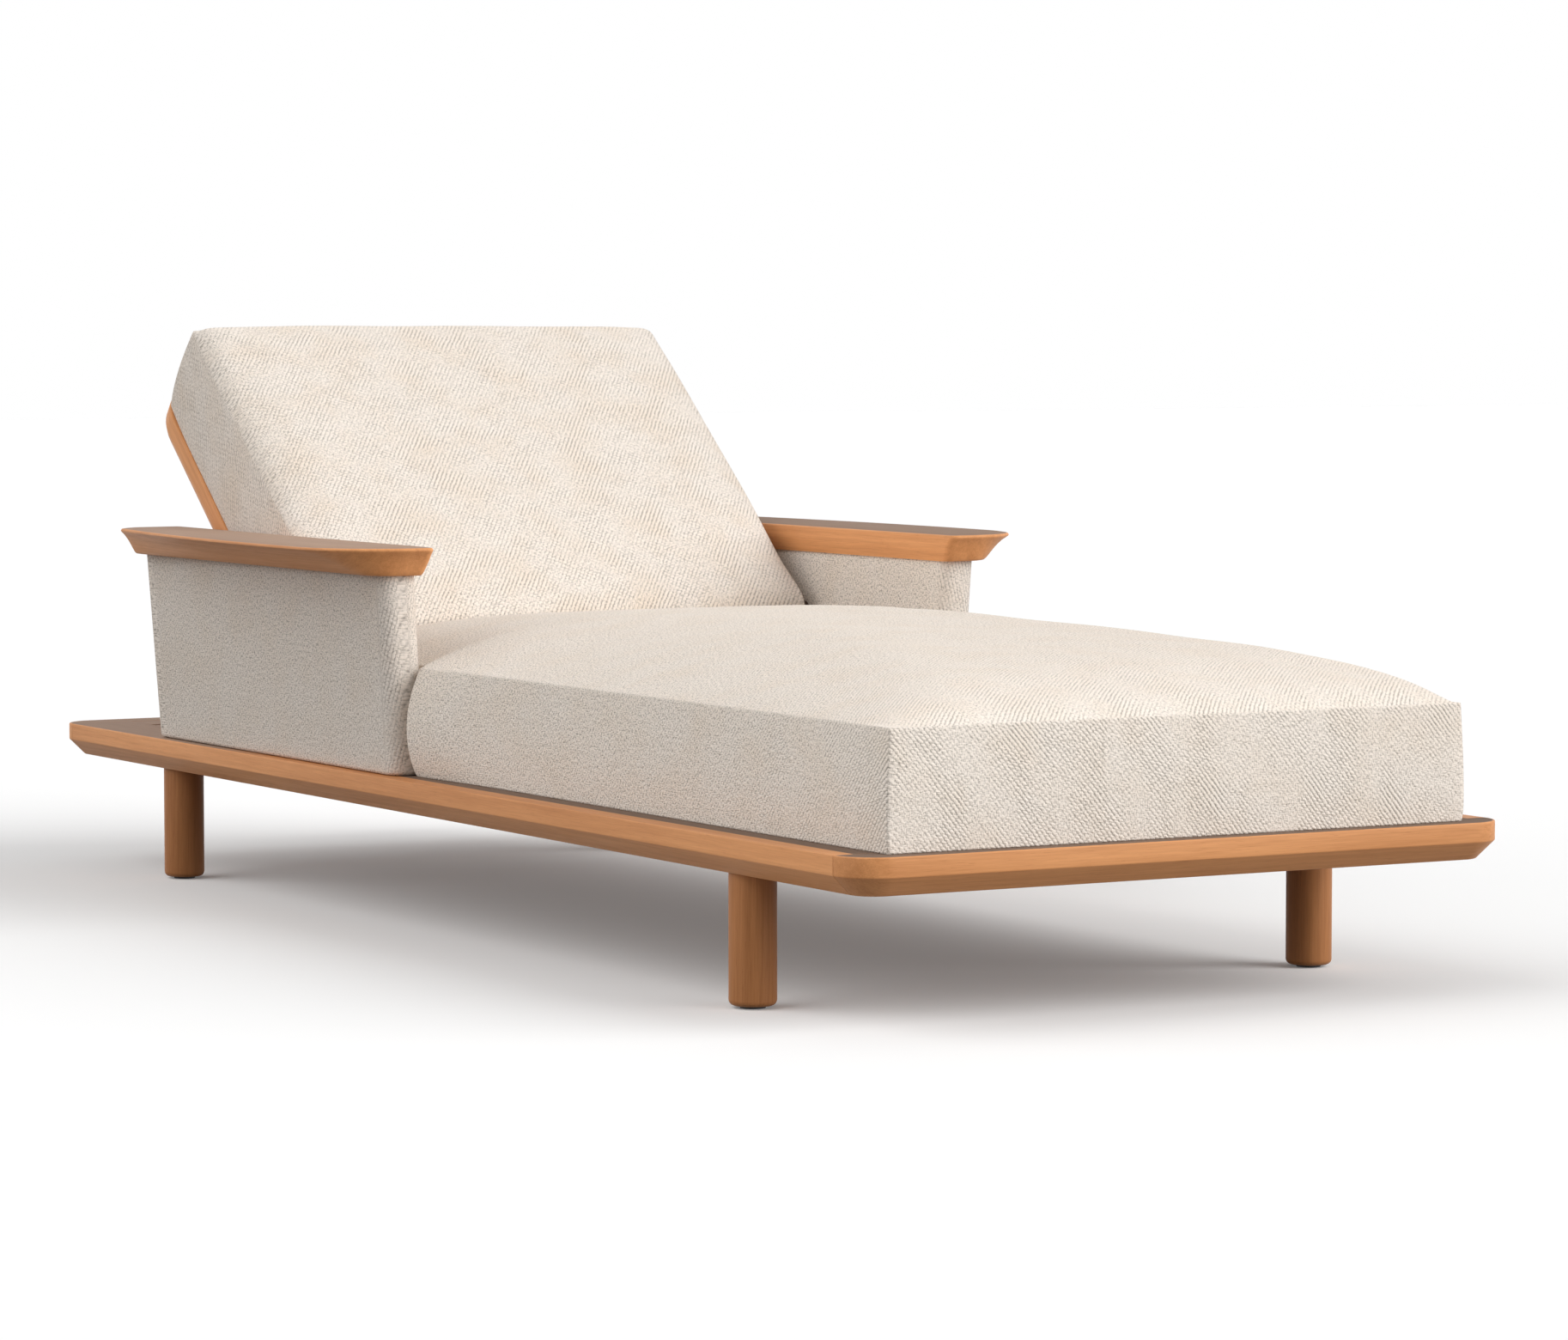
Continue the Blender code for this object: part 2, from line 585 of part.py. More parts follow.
# Recline hardware: side plates and pins turn with the back
strip_low = -BOARD_DROP + STRIP_INSET
strip_high = BOARD_FRONT - STRIP_INSET
screw_z = (strip_low + strip_high) / 2
head_x = PLATE_X + PLATE_THICKNESS + SEAM_GAP
for label, side in (("left", -1), ("right", 1)):
    lean = math.degrees(math.atan2(strip_high, STRIP_END))
    fall = math.degrees(math.atan2(strip_low, STRIP_START))
    outline = arc(0, 0, PIVOT_HUB, lean + 90, fall + 270, 10)
    outline += [(STRIP_START, strip_low), (STRIP_END, strip_low), (STRIP_END, strip_high)]
    plate = add(
        "pivot_plate_" + label, slab_x(outline, side * PLATE_X, side * (PLATE_X + PLATE_THICKNESS)), STEEL, back
    )
    reach = (side * (PLATE_X - OVERRUN), side * (PLATE_X + PLATE_THICKNESS + OVERRUN))
    combine(plate, rod_x(PIN_RADIUS + RUNNING_GAP, 0, 0, *reach), "DIFFERENCE", back)
    for i, station in enumerate(SCREW_STATIONS):
        combine(plate, rod_x(SCREW_RADIUS + HOLE_GAP, station, screw_z, *reach, 16), "DIFFERENCE", back)
        deep = side * (BOARD_HALF_WIDTH - SCREW_DEPTH - HOLE_GAP)
        hole = rod_x(SCREW_RADIUS + HOLE_GAP, station, screw_z, deep, side * (PLATE_X + OVERRUN), 16)
        combine(board, hole, "DIFFERENCE", back)
        head = rod_x(SCREW_HEAD_RADIUS, station, screw_z, side * head_x, side * (head_x + SCREW_HEAD_HEIGHT), 16)
        screw = add(f"plate_screw_{label}_{i + 1}", head, STEEL, back)
        tip = side * (BOARD_HALF_WIDTH - SCREW_DEPTH)
        combine(screw, rod_x(SCREW_RADIUS, station, screw_z, tip, side * (head_x + SCREW_HEAD_HEIGHT / 2), 16), "UNION", back)
    pin_end = QUADRANT_X + PLATE_THICKNESS
    add("pivot_pin_" + label, rod_x(PIN_RADIUS, 0, 0, side * PLATE_X, side * pin_end), STEEL, back)

# Release bar in two brackets behind the board, its pawls lifted clear of the quadrants
for label, side in (("left", -1), ("right", 1)):
    bracket = block(
        side * BRACKET_X - BRACKET_WIDTH / 2,
        side * BRACKET_X + BRACKET_WIDTH / 2,
        BAR_STATION - BRACKET_LENGTH / 2,
        BAR_STATION + BRACKET_LENGTH / 2,
        BRACKET_BOTTOM,
        -BOARD_DROP - SEAM_GAP,
    )
    bracket = add("release_bracket_" + label, bracket, NYLON, back)
    reach = (side * (BRACKET_X - BRACKET_WIDTH), side * (BRACKET_X + BRACKET_WIDTH))
    combine(bracket, rod_x(BAR_RADIUS + RUNNING_GAP, BAR_STATION, -BAR_DROP, *reach), "DIFFERENCE", back)

release = pivot("release_pivot", (0.0, BAR_STATION, -BAR_DROP), -PAWL_LIFT, back)
bar_end = QUADRANT_X + PLATE_THICKNESS
bar = add("release_bar", rod_x(BAR_RADIUS, 0, 0, -bar_end, bar_end), STEEL, release)


def pawl_point(out, along_arc):
    """A point of the engaged pawl about the bar: out from the notch mouth circle, along from the notch."""
    angle = math.radians(NOSE_ANGLE)
    radius = QUADRANT_RADIUS + out
    y = radius * math.cos(angle) - along_arc * math.sin(angle)
    z = radius * math.sin(angle) + along_arc * math.cos(angle)
    return (y - BAR_STATION, z + BAR_DROP)


for side in (-1, 1):
    nose = PAWL_NOSE / 2
    outline = [pawl_point(-PAWL_BITE, nose), pawl_point(-PAWL_BITE, -nose)]
    outline += [pawl_point(PAWL_CLEARANCE, -nose)]
    turn = NOSE_ANGLE
    outline += arc(0, 0, PAWL_HUB, turn + 150, turn + 350, 10)
    outline += [pawl_point(PAWL_CLEARANCE + PAWL_WIDTH, nose)]
    pawl = slab_x(outline, side * QUADRANT_X, side * bar_end)
    combine(bar, pawl, "UNION", release)
half = TAB_THICKNESS / 2
tab = block(-TAB_HALF_WIDTH, TAB_HALF_WIDTH, 0.0, TAB_LENGTH, -half, half)
combine(bar, tab, "UNION", release)

# Quadrants on the arms, with a bush for each pin, and a packer that fills the wedge to the leaning arm
low_angle = NOSE_ANGLE + BACK_ANGLE - NOTCHES_DOWN * NOTCH_STEP - QUADRANT_MARGIN
high_angle = NOSE_ANGLE + BACK_ANGLE + NOTCHES_UP * NOTCH_STEP + QUADRANT_MARGIN


def quadrant_outline():
    """A sector with square notches in its rim, and a round hub about the pivot line."""
    points = [polar(QUADRANT_RADIUS, low_angle)]
    for i in range(-NOTCHES_DOWN, NOTCHES_UP + 1):
        centre = NOSE_ANGLE + BACK_ANGLE + i * NOTCH_STEP
        mouth = math.degrees(NOTCH_MOUTH / 2 / QUADRANT_RADIUS)
        root = math.degrees(NOTCH_ROOT / 2 / QUADRANT_RADIUS)
        deep = QUADRANT_RADIUS - NOTCH_DEPTH
        points += [polar(QUADRANT_RADIUS, centre - mouth), polar(deep, centre - root)]
        points += [polar(deep, centre + root), polar(QUADRANT_RADIUS, centre + mouth)]
    points.append(polar(QUADRANT_RADIUS, high_angle))
    points += arc(0, 0, QUADRANT_HUB, high_angle + 90, low_angle + 270, 10)
    return points


def shifted(points):
    return [(y + PIVOT_Y, z + PIVOT_Z) for y, z in points]


for label, side in (("left", -1), ("right", 1)):
    x0 = side * QUADRANT_X
    x1 = side * (QUADRANT_X + PLATE_THICKNESS)
    quadrant = add("quadrant_" + label, slab_x(shifted(quadrant_outline()), x0, x1), STEEL)
    reach = (side * (QUADRANT_X - OVERRUN), side * (QUADRANT_X + PLATE_THICKNESS + OVERRUN))
    combine(quadrant, rod_x(BUSH_RADIUS + SEAM_GAP, PIVOT_Y, PIVOT_Z, *reach), "DIFFERENCE")
    inner = arc(0, 0, QUADRANT_WINDOW, high_angle - 18, low_angle + 18, 8)
    outer = arc(0, 0, QUADRANT_RADIUS - QUADRANT_RIM, low_angle + 9, high_angle - 9, 12)
    combine(quadrant, slab_x(shifted(outer + inner), *reach), "DIFFERENCE")
    bush = add("pivot_bush_" + label, rod_x(BUSH_RADIUS, PIVOT_Y, PIVOT_Z, x0, x1), NYLON)
    combine(bush, rod_x(PIN_RADIUS + RUNNING_GAP, PIVOT_Y, PIVOT_Z, *reach), "DIFFERENCE")
    outline = arc(0, 0, QUADRANT_RADIUS - PACKER_INSET, low_angle + 2, high_angle - 2, 10)
    outline += arc(0, 0, QUADRANT_HUB, high_angle + 90, low_angle + 270, 10)
    outline = shifted(outline)
    face = ARM_INNER_X - SEAM_GAP
    sections = [[(side * PACKER_X, y, z) for y, z in outline]]
    sections.append([(side * (face + ARM_LEAN * (z - ARM_BASE)), y, z) for y, z in outline])
    add("quadrant_packer_" + label, loft(sections), WOOD)

# Blocks on the deck that the back lies on when it is flat
rest_y = PIVOT_Y + REST_BLOCK_STATION
for label, side in (("left", -1), ("right", 1)):
    x = side * REST_BLOCK_X
    rest = block(
        x - REST_BLOCK_WIDTH / 2,
        x + REST_BLOCK_WIDTH / 2,
        rest_y - REST_BLOCK_LENGTH / 2,
        rest_y + REST_BLOCK_LENGTH / 2,
        PLATFORM_TOP + SEAM_GAP,
        PIVOT_Z - BOARD_DROP - 2 * SEAM_GAP,
    )
    add("rest_block_" + label, rest, WOOD)
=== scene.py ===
"""Looks of the sun lounger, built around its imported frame. Metres, +Z up, the foot end at -Y."""

import json
import math

import bpy
import numpy as np
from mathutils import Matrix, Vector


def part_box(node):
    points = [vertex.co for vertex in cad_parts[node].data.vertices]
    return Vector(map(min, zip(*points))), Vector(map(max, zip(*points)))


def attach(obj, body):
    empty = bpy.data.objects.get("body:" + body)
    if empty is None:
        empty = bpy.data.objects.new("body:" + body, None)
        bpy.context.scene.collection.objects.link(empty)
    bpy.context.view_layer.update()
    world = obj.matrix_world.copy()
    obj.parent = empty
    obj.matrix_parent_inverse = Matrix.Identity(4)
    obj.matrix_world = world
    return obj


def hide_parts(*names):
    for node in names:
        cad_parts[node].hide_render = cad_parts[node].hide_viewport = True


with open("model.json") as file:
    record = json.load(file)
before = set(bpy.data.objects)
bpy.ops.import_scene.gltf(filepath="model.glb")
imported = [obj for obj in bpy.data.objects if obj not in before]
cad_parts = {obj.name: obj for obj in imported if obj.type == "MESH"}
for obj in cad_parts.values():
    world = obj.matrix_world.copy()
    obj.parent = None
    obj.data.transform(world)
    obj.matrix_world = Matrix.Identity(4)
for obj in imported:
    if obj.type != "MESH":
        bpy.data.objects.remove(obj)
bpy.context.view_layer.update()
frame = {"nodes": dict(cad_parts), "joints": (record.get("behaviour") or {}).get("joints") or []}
nodes = frame["nodes"]

# The studio: a long lens just above the arm caps, a pale floor that keeps the shadow, and soft light.
# A broad key stands off the foot end's right, a wider fill off the left, and an even white surround does
# the rest.
scene = bpy.context.scene
scene.view_settings.view_transform = "Standard"
SURROUND = 0.38
FLOOR_BOUNCE = 0.20
FLOOR_SHOWN = 0.895
FLOOR_LIFT = 0.10
FLOOR_REACH = 30.0
WHITE = (1.0, 1.0, 1.0, 1.0)
LIGHTS = (
    ("key", 0.84, 50, (0.56, -0.70, 0.44)),
    ("fill", 0.48, 70, (-0.80, 0.18, 0.57)),
)


def feed(tree, made, inputs):
    """Sets a node's sockets by name or place: to numbers, or from other sockets."""
    for key, value in inputs.items():
        if isinstance(value, bpy.types.NodeSocket):
            tree.links.new(value, made.inputs[key])
        else:
            made.inputs[key].default_value = value


def node(tree, kind, inputs=None, **settings):
    """A shader node with its settings and its sockets set."""
    made = tree.nodes.new(kind)
    for name, value in settings.items():
        setattr(made, name, value)
    feed(tree, made, inputs or {})
    return made


def calc(tree, operation, first, second=0.0, third=0.0):
    """One step of arithmetic between sockets or numbers."""
    return node(tree, "ShaderNodeMath", {0: first, 1: second, 2: third}, operation=operation).outputs[0]


def seen(tree):
    """1 for rays from the camera, mirrors and glass, which show the studio as plain white."""
    path = node(tree, "ShaderNodeLightPath")
    first = calc(tree, "MAXIMUM", path.outputs["Is Camera Ray"], path.outputs["Is Glossy Ray"])
    return calc(tree, "MAXIMUM", first, path.outputs["Is Transmission Ray"])


def material(name):
    """A new material, with its node tree and its Principled shader."""
    made = bpy.data.materials.new(name)
    made.use_nodes = True
    return made, made.node_tree, made.node_tree.nodes["Principled BSDF"]


lens = bpy.data.cameras.new("camera")
lens.sensor_width = 36.0
lens.lens = 120.376
camera = bpy.data.objects.new("camera", lens)
camera.location = (-2.91871, -5.25789, 0.68402)
camera.rotation_euler = (math.radians(86.224), 0.0, math.radians(-29.903))
scene.collection.objects.link(camera)
scene.camera = camera

scene.world = bpy.data.worlds.new("surround")
scene.world.use_nodes = True
tree = scene.world.node_tree
strength = node(tree, "ShaderNodeMapRange", {"Value": seen(tree), "To Min": SURROUND, "To Max": 1.0})
feed(tree, tree.nodes["Background"], {"Color": WHITE, "Strength": strength.outputs[0]})

for name, level, spread, toward in LIGHTS:
    lamp = bpy.data.lights.new(name, "SUN")
    lamp.energy = level * math.pi
    lamp.angle = math.radians(spread)
    light = bpy.data.objects.new(name, lamp)
    light.rotation_euler = (math.acos(toward[2]), 0.0, math.atan2(toward[0], -toward[1]))
    scene.collection.objects.link(light)

floor_mesh = bpy.data.meshes.new("floor")
corners = np.array([(-1, -1, 0), (1, -1, 0), (1, 1, 0), (-1, 1, 0)]) * FLOOR_REACH
floor_mesh.from_pydata(corners.tolist(), [], [(0, 1, 2, 3)])
floor = bpy.data.objects.new("floor", floor_mesh)
scene.collection.objects.link(floor)
paper, tree, surface = material("studio_paper")
shown = seen(tree)
grey = node(tree, "ShaderNodeMapRange", {"Value": shown, "To Min": FLOOR_BOUNCE, "To Max": FLOOR_SHOWN})
feed(
    tree,
    surface,
    {
        "Base Color": grey.outputs[0],
        "Roughness": 1.0,
        "Specular IOR Level": 0.0,
        "Emission Color": WHITE,
        "Emission Strength": calc(tree, "MULTIPLY", shown, FLOOR_LIFT),
    },
)
floor_mesh.materials.append(paper)


# The side rails and end rails: oiled hardwood, planed to a plain band over an undercut chamfer.
# The end rails run round both corners and are doweled to the side rails' ends.
SIDES = ((-1, "left"), (1, "right"))
RAIL_BOTTOM, RAIL_TOP = [corner.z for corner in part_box("side_rail_left")]
(RAIL_INNER, _, _), (RAIL_OUTER, SIDE_RAIL_END, _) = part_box("side_rail_right")
END_RAIL_INNER, END_RAIL_OUTER = [corner.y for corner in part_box("end_rail_rear")]
RAIL_BAND = 0.020
RAIL_CHAMFER = RAIL_TOP - RAIL_BOTTOM - RAIL_BAND
RAIL_UNDERSIDE = 0.006
CORNER_RADIUS = END_RAIL_OUTER - END_RAIL_INNER
CORNER_STEPS = 19
EASE = 0.0016
LIP = 0.001
JOINT_GAP = 0.0004

# The wood's look: what share of the streaks is fibres, how deep the pores are, and its painted shade and
# sheen
FIBRE_SHARE = 0.45
PORE_DEPTH = 0.4
PORE_TINT = 0.35
PORE_BROWN = (0.55, 0.42, 0.34, 1.0)
FIGURE_GAIN = 0.62
STREAK_GAIN = 0.80
TONE_SHIFT = -0.23
TOP_GREY_SHARE = 0.72
PAINTED_TOP_GREY = (0.268, 0.236, 0.208, 1.0)
PAINTED_SHADE_BROWN = (0.115, 0.078, 0.056, 1.0)
TOP_DULLING = 0.20
PEAK_FROM = 0.66
PEAK_FULL = 0.74
GRAIN_SHIFT = 3.7


def shader_group(name, numbers, results):
    """A shader group fed by the vector Place and by named numbers, with its input and output nodes."""
    group = bpy.data.node_groups.new(name, "ShaderNodeTree")
    group.interface.new_socket("Place", in_out="INPUT", socket_type="NodeSocketVector")
    for key in numbers:
        group.interface.new_socket(key, in_out="INPUT", socket_type="NodeSocketFloat")
    for key in results:
        group.interface.new_socket(key, in_out="OUTPUT", socket_type="NodeSocketFloat")
    return group, node(group, "NodeGroupInput"), node(group, "NodeGroupOutput")


def noise(tree, place, stretch, detail, scale=1.0, distortion=0.0):
    """A noise node over a place that is stretched by one factor for each axis."""
    place = node(tree, "ShaderNodeVectorMath", {0: place, 1: stretch}, operation="MULTIPLY").outputs[0]
    settings = {"Vector": place, "Scale": scale, "Detail": detail, "Distortion": distortion}
    return node(tree, "ShaderNodeTexNoise", settings)


def peaks(tree, value):
    """The few highest spots of a noise: 0 up to PEAK_FROM, rising to 1 at PEAK_FULL."""
    settings = {"Value": value, "From Min": PEAK_FROM, "From Max": PEAK_FULL}
    return node(tree, "ShaderNodeMapRange", settings).outputs[0]


def wood_grain():
    """Shader group: straight grain along the first axis of Place, in metres.

    Long soft streaks, fine fibres and short dark pores are noise stretched along the grain; Figure is the
    broad tone of the board, Streak the fibres and Pore the dark flecks.
    """
    group, start, end = shader_group("wood_grain", (), ("Figure", "Streak", "Pore", "Height"))

    def stretched(along, across, detail, distortion=0.0):
        stretch = (along, across, across)
        return noise(group, start.outputs["Place"], stretch, detail, distortion=distortion).outputs[0]

    figure = stretched(along=1.6, across=17.0, detail=3.0, distortion=0.6)
    streaks = stretched(along=5.0, across=210.0, detail=4.0, distortion=0.3)
    fibres = stretched(along=26.0, across=900.0, detail=2.0)
    pore = peaks(group, stretched(along=60.0, across=1500.0, detail=1.0))
    streaks = calc(group, "MULTIPLY", streaks, 1 - FIBRE_SHARE)
    streak = calc(group, "MULTIPLY_ADD", fibres, FIBRE_SHARE, streaks)
    height = calc(group, "SUBTRACT", streak, calc(group, "MULTIPLY", pore, PORE_DEPTH))
    feed(group, end, {"Figure": figure, "Streak": streak, "Pore": pore, "Height": height})
    return group


GRAIN = wood_grain()


def ramp(tree, value, stops):
    """A colour for each value, between the two (place, colour) stops."""
    made = node(tree, "ShaderNodeValToRGB", {"Fac": value})
    for element, (place, colour) in zip(made.color_ramp.elements, stops):
        element.position = place
        element.color = (*colour, 1.0)
    return made.outputs["Color"]


def tinted(tree, kind, amount, first, second):
    """Two colours mixed by an amount, in the given blend kind."""
    made = node(tree, "ShaderNodeMix", {0: amount, 6: first, 7: second}, data_type="RGBA", blend_type=kind)
    return made.outputs[2]


def bumped(tree, strength, distance, height):
    """The normal that a height gives a surface."""
    settings = {"Strength": strength, "Distance": distance, "Height": height}
    return node(tree, "ShaderNodeBump", settings).outputs[0]


def wood(name, attribute="grain", deep=(0.53, 0.216, 0.077), pale=(0.80, 0.368, 0.149)):
    """Oiled wood: the grain group's figure and streaks between a deep and a pale brown, flecked with pores.

    A painted tone kept at each point greys and dulls the brown: 1, on the tops, is a painted grey of shade
    and sheen, and more than 1 adds painted shade, dark brown.
    """
    made, tree, shader = material(name)
    if attribute:
        place = node(tree, "ShaderNodeAttribute", attribute_name=attribute).outputs["Vector"]
    else:
        place = node(tree, "ShaderNodeTexCoord").outputs["Object"]
    grain = node(tree, "ShaderNodeGroup", {"Place": place}, node_tree=GRAIN)
    streak = grain.outputs["Streak"]
    tone = calc(tree, "MULTIPLY_ADD", grain.outputs["Figure"], FIGURE_GAIN, TONE_SHIFT)
    tone = calc(tree, "MULTIPLY_ADD", streak, STREAK_GAIN, tone)
    colour = ramp(tree, tone, ((0.22, deep), (0.72, pale)))
    fleck = calc(tree, "MULTIPLY", grain.outputs["Pore"], PORE_TINT)
    colour = tinted(tree, "MULTIPLY", fleck, colour, PORE_BROWN)
    # Painted tone: up to 1 mixes in the painted grey of shade and sheen, beyond 1 the darker painted shade
    painted_tone = node(tree, "ShaderNodeAttribute", attribute_name="painted_tone").outputs["Fac"]
    painted_top_grey = calc(tree, "MULTIPLY", calc(tree, "MINIMUM", painted_tone, 1.0), TOP_GREY_SHARE)
    colour = tinted(tree, "MIX", painted_top_grey, colour, PAINTED_TOP_GREY)
    painted_shade = calc(tree, "MAXIMUM", calc(tree, "SUBTRACT", painted_tone, 1.0), 0.0)
    colour = tinted(tree, "MIX", painted_shade, colour, PAINTED_SHADE_BROWN)
    gloss = node(tree, "ShaderNodeMapRange", {"Value": streak, "To Min": 0.56, "To Max": 0.40}).outputs[0]
    dulled = calc(tree, "MULTIPLY_ADD", painted_tone, TOP_DULLING, gloss)
    relief = bumped(tree, 0.10, 0.0006, grain.outputs["Height"])
    feed(tree, shader, {"Base Color": colour, "Roughness": dulled, "Normal": relief})
    feed(tree, shader, {"Specular IOR Level": 0.20})
    return made


OILED_WOOD = wood("oiled_wood")


def eased(corners, radii, steps=5):
    """An open line through the corners, each inner corner turned into an arc that touches both its legs."""
    corners = np.asarray(corners, float)
    line = [corners[:1]]
    for before, at, after, radius in zip(corners, corners[1:], corners[2:], radii):
        near = (before - at) / np.linalg.norm(before - at)
        far = (after - at) / np.linalg.norm(after - at)
        half = math.acos(float(np.clip(near @ far, -1, 1))) / 2
        middle = at + (near + far) / np.linalg.norm(near + far) * radius / math.sin(half)
        first = at + near * radius / math.tan(half) - middle
        last = at + far * radius / math.tan(half) - middle
        turn = math.pi - 2 * half
        share = np.linspace(0, 1, steps + 1)[:, None]
        arc = np.sin((1 - share) * turn) * first + np.sin(share * turn) * last
        line.append(middle + arc / math.sin(turn))
    line.append(corners[-1:])
    return np.concatenate(line)


def quarter_round(x, y, radius, first, steps):
    """A quarter circle about (x, y), counterclockwise from the angle first in degrees."""
    turn = np.radians(np.linspace(first, first + 90, steps))
    return np.stack([x + radius * np.cos(turn), y + radius * np.sin(turn)], 1)


def stacked(plans, heights):
    """Rings of points: each plan, an (n, 2) outline, at its height."""
    plans = np.asarray(plans, float)
    level = np.broadcast_to(np.asarray(heights, float)[:, None, None], (*plans.shape[:2], 1))
    return np.concatenate([plans, level], axis=2)


def skin(name, rings, along=None, uv=None, sharp=32.0, place=None, painted_tone=0, grey=1.0):
    """A closed skin over a stack of rings, counterclockwise seen from the last one.

    Point j of ring i joins point j + 1 and ring i + 1, and a flat face closes the first and the last ring.
    along is the axis that the grain follows, kept with each point; uv, if given, is the cloth's own (ring,
    point) map with one more column than points; place, if given, moves the finished rings. The last rings,
    as
    many as the painted tone count, take grey as their painted tone, one number or one for each ring and
    point:
    1 is a painted grey of shade and sheen, more is darker painted shade.
    """
    rings = np.asarray(rings, float)
    count, around = rings.shape[:2]
    index = np.arange(count * around).reshape(count, around)
    beside = np.roll(index, -1, axis=1)
    quads = np.stack([index[:-1], beside[:-1], beside[1:], index[1:]], axis=-1).reshape(-1, 4)
    faces = quads.tolist() + [index[0, ::-1].tolist(), index[-1].tolist()]
    points = rings.reshape(-1, 3)
    mesh = bpy.data.meshes.new(name)
    mesh.from_pydata((place(points) if place else points).tolist(), [], faces)
    if along is not None:
        order = [along, (along + 1) % 3, (along + 2) % 3]
        grain = points[:, order] + GRAIN_SHIFT * points[:1]
        kept = mesh.attributes.new("grain", "FLOAT_VECTOR", "POINT")
        kept.data.foreach_set("vector", grain.astype(np.float32).ravel())
        greyed = np.zeros((count, around), np.float32)
        greyed[count - painted_tone :] = grey
        kept = mesh.attributes.new("painted_tone", "FLOAT", "POINT")
        kept.data.foreach_set("value", greyed.ravel())
    if uv is not None:
        uv = np.asarray(uv, float)
        corner = np.stack([uv[:-1, :-1], uv[:-1, 1:], uv[1:, 1:], uv[1:, :-1]], axis=2).reshape(-1, 2)
        flat = np.concatenate([corner, rings[0, ::-1, :2], rings[-1, :, :2]])
        mesh.uv_layers.new(name="weave").data.foreach_set("uv", flat.astype(np.float32).ravel())
    mesh.polygons.foreach_set("use_smooth", np.ones(len(mesh.polygons), bool))
    mesh.set_sharp_from_angle(angle=math.radians(sharp))
    made = bpy.data.objects.new(name, mesh)
    scene.collection.objects.link(made)
    return made


def fitted(piece, body, slot, finish, *stands_for):
    """Puts a piece with its finish on its body, in the place of the CAD nodes it stands for."""
    piece.data.materials.append(finish)
    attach(piece, body)
    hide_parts(*stands_for)


# The tops beside the seat and at the foot end are darkened with painted shade, and those behind the arms
# take the painted grey of shade and sheen
PAINTED_SHADE = 1.7
PAINTED_SHADE_INSET = 0.0235
PAINTED_SHADE_TO = 0.37
PAINTED_TOP = 1.0
PAINTED_TOP_FROM = 0.52
rail_profile = eased(
    [
        (RAIL_CHAMFER + RAIL_UNDERSIDE, RAIL_BOTTOM),
        (RAIL_CHAMFER, RAIL_BOTTOM),
        (0.0, RAIL_BOTTOM + RAIL_CHAMFER),
        (0.0, RAIL_TOP),
        (EASE + LIP, RAIL_TOP),
    ],
    (0.003, 0.0025, EASE),
)
side_profile = np.concatenate([rail_profile, [(PAINTED_SHADE_INSET - LIP, RAIL_TOP), (PAINTED_SHADE_INSET, RAIL_TOP)]])
end = SIDE_RAIL_END - JOINT_GAP
for side, label in SIDES:
    stations = side * np.array([-end, PAINTED_SHADE_TO, PAINTED_TOP_FROM, end])[::side]
    outer = np.broadcast_to(RAIL_OUTER - side_profile[:, :1], (len(side_profile), len(stations)))
    inner = np.full_like(outer, RAIL_INNER)
    level = np.broadcast_to(stations, outer.shape)
    plan = np.concatenate([np.stack([outer, level], 2), np.stack([inner, level], 2)[:, ::-1]], axis=1)
    rings = stacked(plan * (side, side), side_profile[:, 1])
    y = rings[-1, :, 1]
    # The inner edge of the top is painted shade beside the seat, fading into the painted grey of shade and
    # sheen behind the arms
    grey = [np.interp(y, (PAINTED_SHADE_TO, PAINTED_TOP_FROM), (front, PAINTED_TOP)) for front in (0.0, 0.0, PAINTED_SHADE)]
    rail = skin("side_rail_" + label + "_planed", rings, along=1, painted_tone=len(grey), grey=grey)
    fitted(rail, "base", "wood", OILED_WOOD, "side_rail_" + label)


def end_rail_plan(inset):
    """The end rail's outline: straight inside, a front with two quarter-round corners, set in by inset."""
    middle = RAIL_OUTER - CORNER_RADIUS
    left = quarter_round(-middle, -END_RAIL_INNER, CORNER_RADIUS - inset, 180, CORNER_STEPS)
    return np.concatenate([left, left[::-1] * (-1, 1)])


for turn, label in ((1, "front"), (-1, "rear")):
    plan = np.stack([end_rail_plan(inset) for inset in rail_profile[:, 0]]) * (turn, turn)
    rings = stacked(plan, rail_profile[:, 1])
    # The foot end rail's top is painted shade, the head end rail's top the painted grey of shade and sheen
    grey = PAINTED_SHADE if turn > 0 else PAINTED_TOP
    rail = skin("end_rail_" + label + "_planed", rings, along=0, painted_tone=1, grey=grey)
    fitted(rail, "base", "wood", OILED_WOOD, "end_rail_" + label)


# The deck: planks laid across the platform between the rails, screwed down to three bearers below.
# Sawn and sanded boards with eased edges, as are the rest blocks; the arms' plinths are painted near black,
# as painted shade in the gap under the arm panels.
EASE_MOST = 0.3
EASE_STEPS = 3
TOP_RINGS = 5
SHADOW_GAP_WOOD = wood("shadow_gap_wood", attribute=None, deep=(0.045, 0.028, 0.020), pale=(0.085, 0.052, 0.036))


